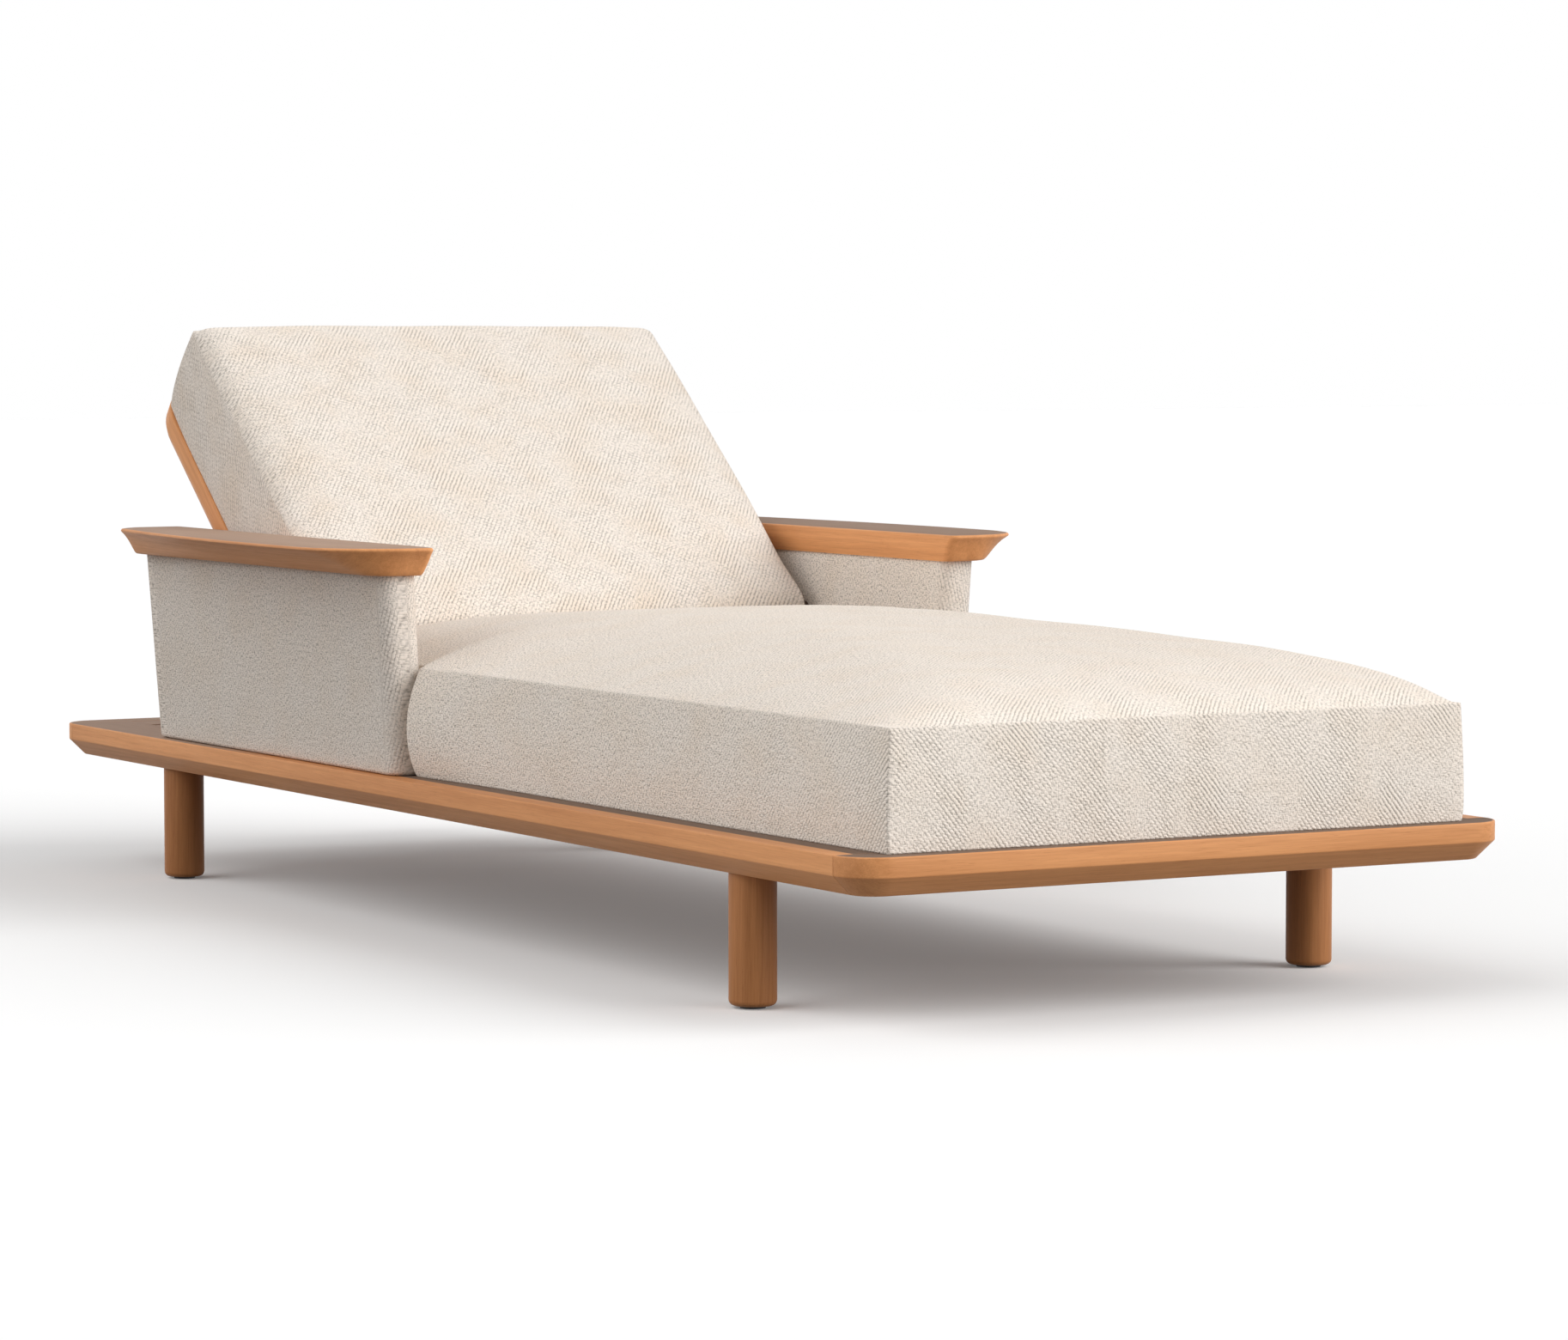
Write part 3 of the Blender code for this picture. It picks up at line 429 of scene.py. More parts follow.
def sawn(name, low, high, along, ease=EASE, place=None, painted_tone=0):
    """A plank between two corners, with its edges eased to small arcs at top and bottom."""
    low, high = np.asarray((low, high), float)
    ease = min(ease, EASE_MOST * float((high - low).min()))
    corners = [(ease + LIP, low[2]), (0.0, low[2]), (0.0, high[2]), (ease + LIP, high[2])]
    profile = eased(corners, (ease, ease), EASE_STEPS)
    inset = profile[:, 0]
    x = (low[0] + inset, high[0] - inset)
    y = (low[1] + inset, high[1] - inset)
    plan = np.stack([np.stack([x[i], y[j]], 1) for i, j in ((0, 0), (1, 0), (1, 1), (0, 1))], axis=1)
    return skin(name, stacked(plan, profile[:, 1]), along=along, place=place, painted_tone=painted_tone)


planks = [(name, 0) for name in sorted(nodes) if name.startswith("deck_board")]
planks += [("bearer_" + label, 1) for label in ("left", "middle", "right")]
planks += [("arm_plinth_" + label, 1) for label in ("left", "right")]
planks += [("rest_block_" + label, 0) for label in ("left", "right")]
for name, along in planks:
    low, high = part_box(name)
    shadow_gap_plinth = name.startswith("arm_plinth")
    # The tops of the deck boards, bearers and rest blocks take the painted grey of shade and sheen
    plank = sawn(name + "_sawn", low, high, along, painted_tone=0 if shadow_gap_plinth else TOP_RINGS)
    fitted(plank, "base", "wood", SHADOW_GAP_WOOD if shadow_gap_plinth else OILED_WOOD, name)


# The four legs: turned hardwood dowels with a softened foot, glued up into the side rails.
# Each stands on a small black nylon glide pinned to its end grain.
LEG_GAP = 0.0002
LEG_FLAT = 0.012
LEG_FOOT_ROUND = 0.0062
# The legs' wood is the rails' wood painted darker, as painted shade under the platform.
SHADED_LEG_WOOD = wood("shaded_leg_wood", deep=(0.32, 0.122, 0.040), pale=(0.54, 0.232, 0.088))


def turned(profile, x, y, steps=64):
    """Rings of a lathe profile: each (radius, height) carried round the upright through x, y."""
    angle = np.linspace(0, 2 * math.pi, steps, endpoint=False)
    circle = np.stack([np.cos(angle), np.sin(angle)], 1)
    plans = profile[:, :1, None] * circle[None] + (x, y)
    return stacked(plans, profile[:, 1])


for name in ("leg_front_left", "leg_front_right", "leg_rear_left", "leg_rear_right"):
    low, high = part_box(name)
    x, y = (low.x + high.x) / 2, (low.y + high.y) / 2
    radius = (high.x - low.x) / 2
    top = RAIL_BOTTOM - LEG_GAP
    profile = eased([(LEG_FLAT, low.z), (radius, low.z), (radius, top)], (LEG_FOOT_ROUND,), steps=6)
    leg = skin(name + "_turned", turned(profile, x, y), along=2)
    fitted(leg, "base", "wood", SHADED_LEG_WOOD, name)


# The arm panels: upright boards wrapped in thin wadding and the same off-white cloth, stapled underneath.
# They lean out a little and their upright edges are well rounded.
ARM_LAP = 0.0033
ARM_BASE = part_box("arm_panel_left")[0].z - ARM_LAP
ARM_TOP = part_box("arm_panel_left")[1].z
ARM_LEAN = 0.061
ARM_END_FLARE = 0.0215
ARM_REAR_FLARE = 0.040
ARM_INNER = 0.332
ARM_OUTER = 0.378
ARM_FRONT = 0.041
ARM_REAR = 0.7095
ARM_ROUND = 0.018
ARM_PUFF = 0.0016
ARM_INNER_PUFF = 0.3
ARM_FOOT_INSET = 0.009
ARM_FOOT_ROUND = 0.0045
ARM_HEAD_INSET = 0.006
ARM_HEAD_ROUND = 0.002
ARM_ARC = 6
ARM_ROWS = 26
ARM_COLUMNS = 42
QUARTER_STEPS = 11
ARM_COARSE = 0.70
ARM_COARSE_REACH = 1.4
ARM_LINED = -0.20

# The cloth's look: how its yarns wander and break into dashes, their middle heights and their tints
YARN_WANDER = 0.0022
DASH_GAP = 0.16
DASH_CHANCE = 0.6
DASH_MIDDLE = 0.46
LINE_MIDDLE = 0.60
FINE_MIDDLE = 0.492
FINE_GAIN = 1.9
FINE_LESS = -1.2
PATCH_LEAST = 0.25
YARN_DARK = 0.44
YARN_SHADE = (1.0, 0.985, 0.965)
WARM_TINT = (0.96, 0.91, 0.85, 1.0)
SLUB_SHARE = 0.22
SLUB_TINT = (0.80, 0.77, 0.73, 1.0)
SLUB_RELIEF = 0.3
EVEN = (1.0, 1.0, 1.0)


def cloth_weave():
    """Shader group: a coarse plain cloth on the flat map Place, in metres.

    Twill lines stand a Pitch apart and lean by Slant. Rows of weft to a Pitch break them into dashes, which
    run together into plain lines where Lined is high. Coarse is how far they stand out from the fine crossed
    fibres, less so in patches Spread times as wide as tall. Height is the yarns' relief, Slub the thick
    threads and Patch the broad change of tone.
    """
    numbers = ("Pitch", "Slant", "Rows", "Spread", "Coarse", "Lined")
    group, start, end = shader_group("cloth_weave", numbers, ("Height", "Slub", "Patch"))
    place, pitch, slant, rows, spread, coarse, lined = start.outputs[:7]

    def step(value, low, high):
        settings = {"Value": value, "From Min": low, "From Max": high}
        return node(group, "ShaderNodeMapRange", settings, interpolation_type="SMOOTHSTEP").outputs[0]

    def vectors(operation, inputs):
        return node(group, "ShaderNodeVectorMath", inputs, operation=operation).outputs[0]

    def ripple(phase):
        wave = calc(group, "COSINE", calc(group, "MULTIPLY", phase, 2 * math.pi))
        return calc(group, "MULTIPLY_ADD", wave, 0.5, 0.5)

    wander = noise(group, place, EVEN, detail=2.0, scale=70.0).outputs["Color"]
    wander = vectors("SUBTRACT", {0: wander, 1: (0.5, 0.5, 0.5)})
    wander = vectors("SCALE", {0: wander, "Scale": YARN_WANDER})
    moved = node(group, "ShaderNodeSeparateXYZ", {0: vectors("ADD", {0: place, 1: wander})})
    across = calc(group, "DIVIDE", moved.outputs[0], pitch)
    up = calc(group, "DIVIDE", moved.outputs[1], pitch)
    phase = calc(group, "MULTIPLY_ADD", up, slant, across)
    slanted = ripple(phase)
    line = calc(group, "ROUND", phase)
    row = calc(group, "MULTIPLY_ADD", up, rows, calc(group, "MULTIPLY", line, 0.5))
    cell = node(group, "ShaderNodeCombineXYZ", {0: line, 1: calc(group, "ROUND", row)}).outputs[0]
    chance = node(group, "ShaderNodeTexWhiteNoise", {"Vector": cell}, noise_dimensions="3D").outputs["Value"]
    broken = calc(group, "MULTIPLY_ADD", ripple(row), 1 - DASH_GAP, DASH_GAP)
    dashes = calc(group, "POWER", calc(group, "MULTIPLY", slanted, broken), 0.5)
    varied = calc(group, "MULTIPLY_ADD", chance, DASH_CHANCE, 1 - DASH_CHANCE / 2)
    dashes = calc(group, "SUBTRACT", calc(group, "MULTIPLY", dashes, varied), DASH_MIDDLE)
    lines = calc(group, "SUBTRACT", calc(group, "POWER", slanted, 0.6), LINE_MIDDLE)
    warp = noise(group, place, (720.0, 270.0, 1.0), detail=1.0).outputs[0]
    weft = noise(group, place, (270.0, 720.0, 1.0), detail=1.0).outputs[0]
    fibres = calc(group, "ADD", calc(group, "SUBTRACT", warp, 0.5), calc(group, "SUBTRACT", weft, 0.5))
    fine = calc(group, "MULTIPLY_ADD", coarse, FINE_LESS, FINE_GAIN)
    fine = calc(group, "MULTIPLY_ADD", fibres, fine, FINE_MIDDLE)
    stretch = node(group, "ShaderNodeCombineXYZ", {0: 1.0, 1: spread}).outputs[0]
    bands = step(noise(group, place, stretch, detail=1.0, scale=23.0).outputs[0], 0.34, 0.60)
    stand = calc(group, "MULTIPLY", calc(group, "MULTIPLY_ADD", bands, 1 - PATCH_LEAST, PATCH_LEAST), coarse)
    runs = noise(group, place, EVEN, detail=1.0, scale=14.0).outputs[0]
    joined = step(calc(group, "ADD", runs, lined), 0.46, 0.60)
    twill = node(group, "ShaderNodeMix", {0: joined, 2: dashes, 3: lines}, data_type="FLOAT").outputs[0]
    height = calc(group, "MULTIPLY_ADD", twill, stand, fine)
    slub = peaks(group, noise(group, place, (14.0, 420.0, 1.0), detail=1.0).outputs[0])
    patch = noise(group, place, EVEN, detail=3.0, scale=15.0).outputs[0]
    feed(group, end, {"Height": height, "Slub": slub, "Patch": patch})
    return group


WEAVE = cloth_weave()


def cloth(name, pitch, slant, spread, relief, rows=1.3, pale=(0.98, 0.890, 0.800), tan=0.5):
    """Off-white cloth: the weave's relief shades the yarns, with warmer patches and a few thick threads.

    Each piece's coarse and lined attributes say where its twill stands out and where it runs in plain lines.
    """
    made, tree, shader = material(name)
    inputs = {"Place": node(tree, "ShaderNodeUVMap", uv_map="weave").outputs[0]}
    inputs.update({"Pitch": pitch, "Slant": slant, "Rows": rows, "Spread": spread})
    for key in ("Coarse", "Lined"):
        inputs[key] = node(tree, "ShaderNodeAttribute", attribute_name=key.lower()).outputs["Fac"]
    weave = node(tree, "ShaderNodeGroup", inputs, node_tree=WEAVE)
    deep = tuple(YARN_DARK * level * shade for level, shade in zip(pale, YARN_SHADE))
    colour = ramp(tree, weave.outputs["Height"], ((0.0, deep), (0.62, pale)))
    patches = {"Value": weave.outputs["Patch"], "From Min": 0.42, "From Max": 0.72, "To Max": tan}
    warm = node(tree, "ShaderNodeMapRange", patches).outputs[0]
    colour = tinted(tree, "MULTIPLY", warm, colour, WARM_TINT)
    thick = calc(tree, "MULTIPLY", weave.outputs["Slub"], SLUB_SHARE)
    colour = tinted(tree, "MULTIPLY", thick, colour, SLUB_TINT)
    height = calc(tree, "MULTIPLY_ADD", weave.outputs["Slub"], SLUB_RELIEF, weave.outputs["Height"])
    feed(
        tree,
        shader,
        {
            "Base Color": colour,
            "Roughness": 0.92,
            "Specular IOR Level": 0.10,
            "Sheen Weight": 0.42,
            "Sheen Roughness": 0.5,
            "Sheen Tint": (1.0, 0.90, 0.80, 1.0),
            "Normal": bumped(tree, relief, 0.0008, height),
        },
    )
    return made


def marked(piece, coarse, lined):
    """Keeps how coarse and how lined the cloth looks at each point of a piece."""
    for name, values in (("coarse", coarse), ("lined", lined)):
        values = np.broadcast_to(values, len(piece.data.vertices))
        kept = piece.data.attributes.new(name, "FLOAT", "POINT")
        kept.data.foreach_set("value", values.astype(np.float32))


# The arms' cloth is the seat's cloth painted darker, as painted shade on the panels.
ARM_PALE = (0.815, 0.740, 0.668)
ARM_CLOTH = cloth("arm_cloth", pitch=0.0046, slant=0.30, spread=1.0, relief=0.6, rows=0.95, pale=ARM_PALE)


def arm_plan(rise, inset):
    """The panel's plan at a height: straight faces, four rounded upright edges, leaning out as it rises."""
    inner = ARM_INNER + ARM_LEAN * rise + inset
    outer = ARM_OUTER + ARM_LEAN * rise - inset
    front = ARM_FRONT - ARM_END_FLARE * rise + inset
    rear = ARM_REAR + ARM_REAR_FLARE * rise - inset
    radius = ARM_ROUND - 0.5 * inset
    share = np.linspace(0, 1, ARM_COLUMNS)[1:-1, None]
    in_front = quarter_round(inner + radius, front + radius, radius, 180, QUARTER_STEPS)
    out_front = quarter_round(outer - radius, front + radius, radius, 270, QUARTER_STEPS)
    out_rear = quarter_round(outer - radius, rear - radius, radius, 0, QUARTER_STEPS)
    in_rear = quarter_round(inner + radius, rear - radius, radius, 90, QUARTER_STEPS)
    outside = out_front[-1] + (out_rear[0] - out_front[-1]) * share
    inside = in_rear[-1] + (in_front[0] - in_rear[-1]) * share
    part = min(max(rise / (ARM_TOP - ARM_BASE), 0.0), 1.0)
    swell = ARM_PUFF * np.sin(np.pi * share[:, 0]) ** 0.5 * math.sin(math.pi * part) ** 0.5
    outside[:, 0] += swell
    inside[:, 0] -= ARM_INNER_PUFF * swell
    return np.concatenate([in_front, out_front, outside, out_rear, in_rear, inside])


corners = [(ARM_FOOT_INSET, ARM_BASE), (0.0, ARM_BASE), (0.0, ARM_TOP), (ARM_HEAD_INSET, ARM_TOP)]
arm_profile = eased(corners, (ARM_FOOT_ROUND, ARM_HEAD_ROUND), ARM_ARC)
straight = ARM_ARC + 2
upright = np.linspace(arm_profile[straight - 1, 1], arm_profile[straight, 1], ARM_ROWS)[1:-1]
upright = np.stack([0 * upright, upright], 1)
arm_profile = np.concatenate([arm_profile[:straight], upright, arm_profile[straight:]])
for side, label in SIDES:
    plans = np.stack([arm_plan(z - ARM_BASE, inset) for inset, z in arm_profile])
    around = np.linalg.norm(np.diff(plans, axis=1, append=plans[:, :1]), axis=2)
    run = np.concatenate([np.zeros((len(plans), 1)), np.cumsum(around, axis=1)], axis=1)
    height = np.cumsum(np.linalg.norm(np.diff(arm_profile, axis=0, prepend=arm_profile[:1]), axis=1))
    uv = np.stack([run, np.broadcast_to(height[:, None], run.shape)], axis=2)
    if side < 0:
        plans = plans[:, ::-1] * (-1, 1)
        uv = uv[:, ::-1]
    rings = stacked(plans, arm_profile[:, 1])
    panel = skin("arm_panel_" + label + "_wrapped", rings, uv=uv, sharp=60)
    behind = (rings[:, :, 1] - ARM_FRONT + ARM_END_FLARE * (rings[:, :, 2] - ARM_BASE)).ravel()
    marked(panel, ARM_COARSE * np.clip(ARM_COARSE_REACH - behind / ARM_ROUND, 0, 1), ARM_LINED)
    fitted(panel, "base", "fabric", ARM_CLOTH, "arm_panel_" + label)


# The arm caps: solid hardwood rests, bowed in plan, with a wide flare cut up and out from their foot.
# A rounded rim runs round the nearly flat top, and dowels hold them to the panels' boards.
(CAP_INNER, CAP_FRONT, CAP_LOW), (CAP_WIDE, CAP_REAR, _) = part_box("arm_cap_right")
CAP_LAP = 0.0012
CAP_FOOT = CAP_LOW - CAP_LAP
CAP_SIDE = 0.0278
CAP_HEIGHT = CAP_SIDE + CAP_LAP
CAP_RIM = 0.0027
CAP_CROWN = 0.0020
CAP_FLARE = 0.0575
CAP_FOOT_FRONT = 0.0205
CAP_REAR_NARROWING = 0.0391
CAP_WIDEST = 0.486
CAP_FRONT_ROUND = 0.104
CAP_FOOT_ROUND = 0.030
CAP_SMALL_ROUND = 0.010
CAP_INNER_INSET = 0.004
CAP_TOP_RUN = 0.026
CAP_COLUMNS = 42
CAP_PAINTED_SHADE = 1.45


def cap_plan(flare, inset):
    """The cap's plan: straight inside, bowed outside, one wide front corner.

    flare is 0 at the foot and 1 at the rim, and inset moves the whole outline in.
    """
    held = max(flare, 0.0)
    inner = CAP_INNER + CAP_INNER_INSET * (1 - min(1.0, 2 * held)) + inset
    front = CAP_FRONT + CAP_FOOT_FRONT * (1 - flare) + inset
    rear = CAP_REAR - inset
    widest = CAP_WIDE - CAP_FLARE * (1 - flare) - inset
    small = max(CAP_SMALL_ROUND - inset, 0.3 * CAP_SMALL_ROUND)

    def outer(y):
        return widest - held * CAP_REAR_NARROWING * ((y - CAP_REAR + CAP_WIDEST) / CAP_WIDEST) ** 2

    wide_round = CAP_FOOT_ROUND + (CAP_FRONT_ROUND - CAP_FOOT_ROUND) * held - inset
    wide_round = min(wide_round, outer(front + wide_round) - inner - small)
    first = front + wide_round
    last = rear - small
    y = np.linspace(first, last, CAP_COLUMNS)[1:-1]
    return np.concatenate(
        [
            quarter_round(inner + small, front + small, small, 180, 9),
            quarter_round(outer(first) - wide_round, first, wide_round, 270, 25),
            np.stack([outer(y), y], 1),
            quarter_round(outer(last) - small, last, small, 0, 9),
            quarter_round(inner + small, last, small, 90, 9),
        ]
    )


# Shares of the height and of the flare up the cap's side: a rounded foot, then a long shallow hollow
rise = (0, 0.005, 0.018, 0.037, 0.07, 0.116, 0.20, 0.31, 0.42, 0.544, 0.67, 0.806, 0.88, 0.95, 1)
flare = (-0.14, -0.085, -0.037, 0, 0.05, 0.107, 0.182, 0.272, 0.362, 0.466, 0.588, 0.738, 0.845, 0.957, 1)
rim = np.radians(np.linspace(0, 90, 7))[1:]
plans = [cap_plan(share, 0.0) for share in flare]
plans += [cap_plan(1.0, CAP_RIM * (1 - math.cos(turn))) for turn in rim]
levels = [CAP_FOOT + CAP_HEIGHT * part for part in rise]
levels += list(CAP_FOOT + CAP_HEIGHT + CAP_RIM * np.sin(rim))
crown = np.linspace(0, 1, 6)[1:]
plans += [cap_plan(1.0, CAP_RIM + CAP_TOP_RUN * share) for share in crown]
levels += list(levels[-1] + CAP_CROWN * (1 - (1 - crown) ** 2))
for side, label in SIDES:
    shape = np.stack(plans)
    if side < 0:
        shape = shape[:, ::-1] * (-1, 1)
    rings = stacked(shape, levels)
    # The left cap's top takes the painted grey of shade and sheen, the right cap's top darker painted shade
    grey = CAP_PAINTED_SHADE if side > 0 else PAINTED_TOP
    cap = skin("arm_cap_" + label + "_shaped", rings, along=1, sharp=50, painted_tone=len(crown) + 1, grey=grey)
    fitted(cap, "base", "wood", OILED_WOOD, "arm_cap_" + label)


# The seat cushion: a foam block in a sewn off-white cover, lying loose on the deck between the arms.
# Its top panel is joined to the side band by a plain seam, and the cover is filled until it crowns.
SEAT_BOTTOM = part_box("seat_cushion")[0].z
SEAM_Z = 0.2985
SEAT_HALF = 0.340
SEAT_BETWEEN = 0.326
SEAT_FRONT = -0.9765
SEAT_REAR = 0.3174
SEAT_CROWN = 0.0616
SEAT_SWELL = 0.0060
SEAT_FOOT_ROUND = 0.0014
EAR_END = 0.0380
EAR_START = 0.0280
EAR_SWELL = 0.0125
EAR_FLARE = 0.0090
EAR_RUN = 0.10

# The crown's fall, as powers of the way out: to the left at its front and rear, to the right, front and rear
LEFT_POWERS = (1.8, 4.0)
LEFT_CHANGE = (0.60, 0.92)
RIGHT_POWER = 7.2
FRONT_POWERS = (3.9, 42)
FRONT_SHARES = (0.62, 0.38)
REAR_POWER = 5.1
REAR_REACH = 0.845
HIP_POWER = 6
RIGHT_SHOULDER = 0.92
SEAT_UNEVEN = 0.0012

# How coarse the cloth is at the front and everywhere, and how lined, on the top panel and on the band
TOP_COARSE = (0.60, 0.08)
BAND_COARSE = (0.58, 0.20)
COARSE_RUN = 0.20
TOP_LINED = 0.40
BAND_LINED = -0.10
SEAT_CLOTH = cloth("seat_cloth", pitch=0.0056, slant=0.80, spread=0.3, relief=0.9)
FILL_MOST = 0.003
FILL_FRAMES = 20


def places(piece):
    """Where a piece's points are, as an (n, 3) array."""
    points = np.empty(3 * len(piece.data.vertices))
    piece.data.vertices.foreach_get("co", points)
    return points.reshape(-1, 3)


def smooth(part):
    """An even start and end to a part that runs from 0 to 1."""
    return part**2 * (3 - 2 * part)


def box_cushion(name, place, us, vs, parts, bottom, bulge, move=None, top_map=(1.0, 1.0)):
    """A sewn box cushion: a crowned top panel, a side band that stands out, and a flat base.

    place(u, v) gives the top panel's points on the grid of us and vs. The band's rows run down from the seam
    by parts, 1 at the seam and 0 at the base, each pushed out by bulge(x, y, outward, part). The cloth's map
    is the plan, scaled by top_map, for the top panel, and run and height for the band, mirrored on the left.
    move, if given, turns the points into place.
    """
    u, v = np.meshgrid(us, vs)
    top = place(u, v)
    rows, across = u.shape
    index = np.arange(rows * across).reshape(rows, across)
    ring = np.concatenate([index[0], index[1:-1, -1], index[-1, ::-1], index[-2:0:-1, 0]])
    seam = top.reshape(-1, 3)[ring]
    around = len(ring)
    outward = np.zeros((around, 2))
    outward[:across, 1] = -1
    outward[across - 1 : across + rows - 1, 0] = 1
    outward[across + rows - 2 : 2 * across + rows - 2, 1] = 1
    outward[2 * across + rows - 3 :, 0] = -1
    outward[0, 0] = -1
    band = []
    for part in parts[1:]:
        out = bulge(seam[:, 0], seam[:, 1], outward, part)
        z = bottom + (seam[:, 2] - bottom) * part
        band.append(np.concatenate([seam[:, :2] + out, z[:, None]], axis=1))
    base = top[1:-1, 1:-1].reshape(-1, 3) * (1, 1, 0) + (0, 0, bottom)
    points = np.concatenate([top.reshape(-1, 3), *band, base])
    lower = rows * across + np.arange((len(parts) - 1) * around).reshape(-1, around)
    rings = np.concatenate([ring[None], lower])
    under = np.empty_like(index)
    under.ravel()[ring] = rings[-1]
    under[1:-1, 1:-1] = len(points) - len(base) + np.arange(len(base)).reshape(rows - 2, across - 2)
    beneath = np.stack([under[:-1, :-1], under[1:, :-1], under[1:, 1:], under[:-1, 1:]], axis=-1)
    above = np.stack([index[:-1, :-1], index[:-1, 1:], index[1:, 1:], index[1:, :-1]], axis=-1)
    beside = np.roll(rings, -1, axis=1)
    sides = np.stack([rings[:-1], rings[1:], beside[1:], beside[:-1]], axis=-1)
    faces = np.concatenate([quads.reshape(-1, 4) for quads in (above, sides, beneath)])
    mesh = bpy.data.meshes.new(name)
    mesh.from_pydata((move(points) if move else points).tolist(), [], faces.tolist())
    step = np.linalg.norm(np.diff(seam[:, :2], axis=0, append=seam[:1, :2]), axis=1)
    run = np.broadcast_to(np.concatenate([[0], np.cumsum(step)]), (len(parts), around + 1))
    tall = np.broadcast_to(np.asarray(parts)[:, None] * (seam[:, 2].mean() - bottom), run.shape)
    flat = np.stack([run, tall], axis=2)
    side_uv = np.stack([flat[:-1, :-1], flat[1:, :-1], flat[1:, 1:], flat[:-1, 1:]], axis=2)
    side_uv[:, 2 * across + rows - 3 :, :, 0] *= -1
    top_uv = points[above.ravel(), :2] * top_map
    uv = np.concatenate([top_uv, side_uv.reshape(-1, 2), points[beneath.ravel(), :2]])
    mesh.uv_layers.new(name="weave").data.foreach_set("uv", uv.astype(np.float32).ravel())
    mesh.polygons.foreach_set("use_smooth", np.ones(len(mesh.polygons), bool))
    made = bpy.data.objects.new(name, mesh)
    scene.collection.objects.link(made)
    corner = [0, across - 1, across + rows - 2, 2 * across + rows - 3]
    return made, rings, corner


def looped(ring):
    """The pairs of neighbours round a closed ring."""
    return np.stack([ring, np.roll(ring, -1)], 1)


def refined(piece, pairs, crease):
    """Subdivides a piece once, but keeps the edges between the given pairs of points firm, like seams."""
    mesh = piece.data
    ends = np.empty(2 * len(mesh.edges), int)
    mesh.edges.foreach_get("vertices", ends)
    count = len(mesh.vertices)
    keys = np.sort(ends.reshape(-1, 2), axis=1) @ (count, 1)
    wanted = np.sort(np.asarray(pairs), axis=1) @ (count, 1)
    values = np.where(np.isin(keys, wanted), crease, 0.0)
    kept = mesh.attributes.new("crease_edge", "FLOAT", "EDGE")
    kept.data.foreach_set("value", values.astype(np.float32))
    finer = piece.modifiers.new("finer", "SUBSURF")
    finer.levels = 1
    finer.render_levels = 1


def filled(piece, rings, end):
    """Fills a sewn cover by cloth simulation: pressure swells it while the seams, the base and one end stay.

    end is the slice of the band's rings that meets the other cushion. The mesh's points take up where the
    cloth has settled, each moved by FILL_MOST at the furthest.
    """
    base = np.arange(rings.max() + 1, len(piece.data.vertices))
    held = np.concatenate([rings[[0, -1]].ravel(), rings[:, end].ravel(), base])
    cover = piece.copy()
    cover.data = piece.data.copy()
    scene.collection.objects.link(cover)
    cover.vertex_groups.new(name="held").add(held.tolist(), 1.0, "REPLACE")
    sim = cover.modifiers.new("filled", "CLOTH")
    sim.settings.quality = 5
    sim.settings.mass = 0.3
    sim.settings.tension_stiffness = 40.0
    sim.settings.compression_stiffness = 40.0
    sim.settings.shear_stiffness = 12.0
    sim.settings.bending_stiffness = 1.0
    sim.settings.use_pressure = True
    sim.settings.uniform_pressure_force = 4.0
    sim.settings.vertex_group_mass = "held"
    sim.settings.effector_weights.gravity = 0.0
    sim.point_cache.frame_start = 1
    sim.point_cache.frame_end = FILL_FRAMES
    for moment in range(1, FILL_FRAMES + 1):
        scene.frame_set(moment)
    settled = cover.evaluated_get(bpy.context.evaluated_depsgraph_get())
    before = places(piece)
    move = places(settled) - before
    far = np.linalg.norm(move, axis=1, keepdims=True)
    move = move * FILL_MOST * np.tanh(far / FILL_MOST) / np.maximum(far, 1e-9)
    piece.data.vertices.foreach_set("co", (before + move).ravel())
    bpy.data.objects.remove(cover)
    scene.frame_set(1)


def seat_ears(y):
    """How near each Y is to the ears in front of the arms, and how far it has turned in between the arms."""
    ear = np.exp(-((np.maximum(EAR_START - y, 0) / EAR_RUN) ** 2))
    turn = np.clip((y - EAR_START) / (EAR_END - EAR_START), 0, 1)
    return ear, np.sqrt(1 - turn**2)


def seat_place(u, v):
    """The seat's top panel: wide in front of the arms, narrower between them, rising to a broad flat crown.

    The rise falls off with a power of the way across and others of the way to the front, and the larger of
    the two rules, which leaves a soft hip at each front corner. A few slow waves make it a little uneven.
    """
    across = 2 * u - 1
    y = SEAT_FRONT + (SEAT_REAR - SEAT_FRONT) * v
    ear, turn = seat_ears(y)
    half = SEAT_HALF + EAR_FLARE * ear
    half = half + (SEAT_BETWEEN - half) * (1 - turn)
    rear = smooth(np.clip((v - LEFT_CHANGE[0]) / (LEFT_CHANGE[1] - LEFT_CHANGE[0]), 0, 1))
    left_power = LEFT_POWERS[0] + (LEFT_POWERS[1] - LEFT_POWERS[0]) * rear
    side_fall = np.abs(across) ** np.where(across < 0, left_power, RIGHT_POWER)
    front_fall = sum(share * (1 - v) ** power for share, power in zip(FRONT_SHARES, FRONT_POWERS))
    hip = (side_fall**HIP_POWER + front_fall**HIP_POWER) ** (1 / HIP_POWER)
    crown = np.maximum(1 - hip, 0) ** np.where(across < 0, 1.0, RIGHT_SHOULDER)
    crown = crown * (1 - (REAR_REACH * v) ** REAR_POWER)
    uneven = np.sin(17 * y + 3 * across) * np.sin(5.3 * across + 9 * y + 1)
    z = SEAM_Z + SEAT_CROWN * crown - SEAT_UNEVEN * uneven * np.minimum(1, 3 * crown)
    return np.stack([across * half, y, z], axis=2)


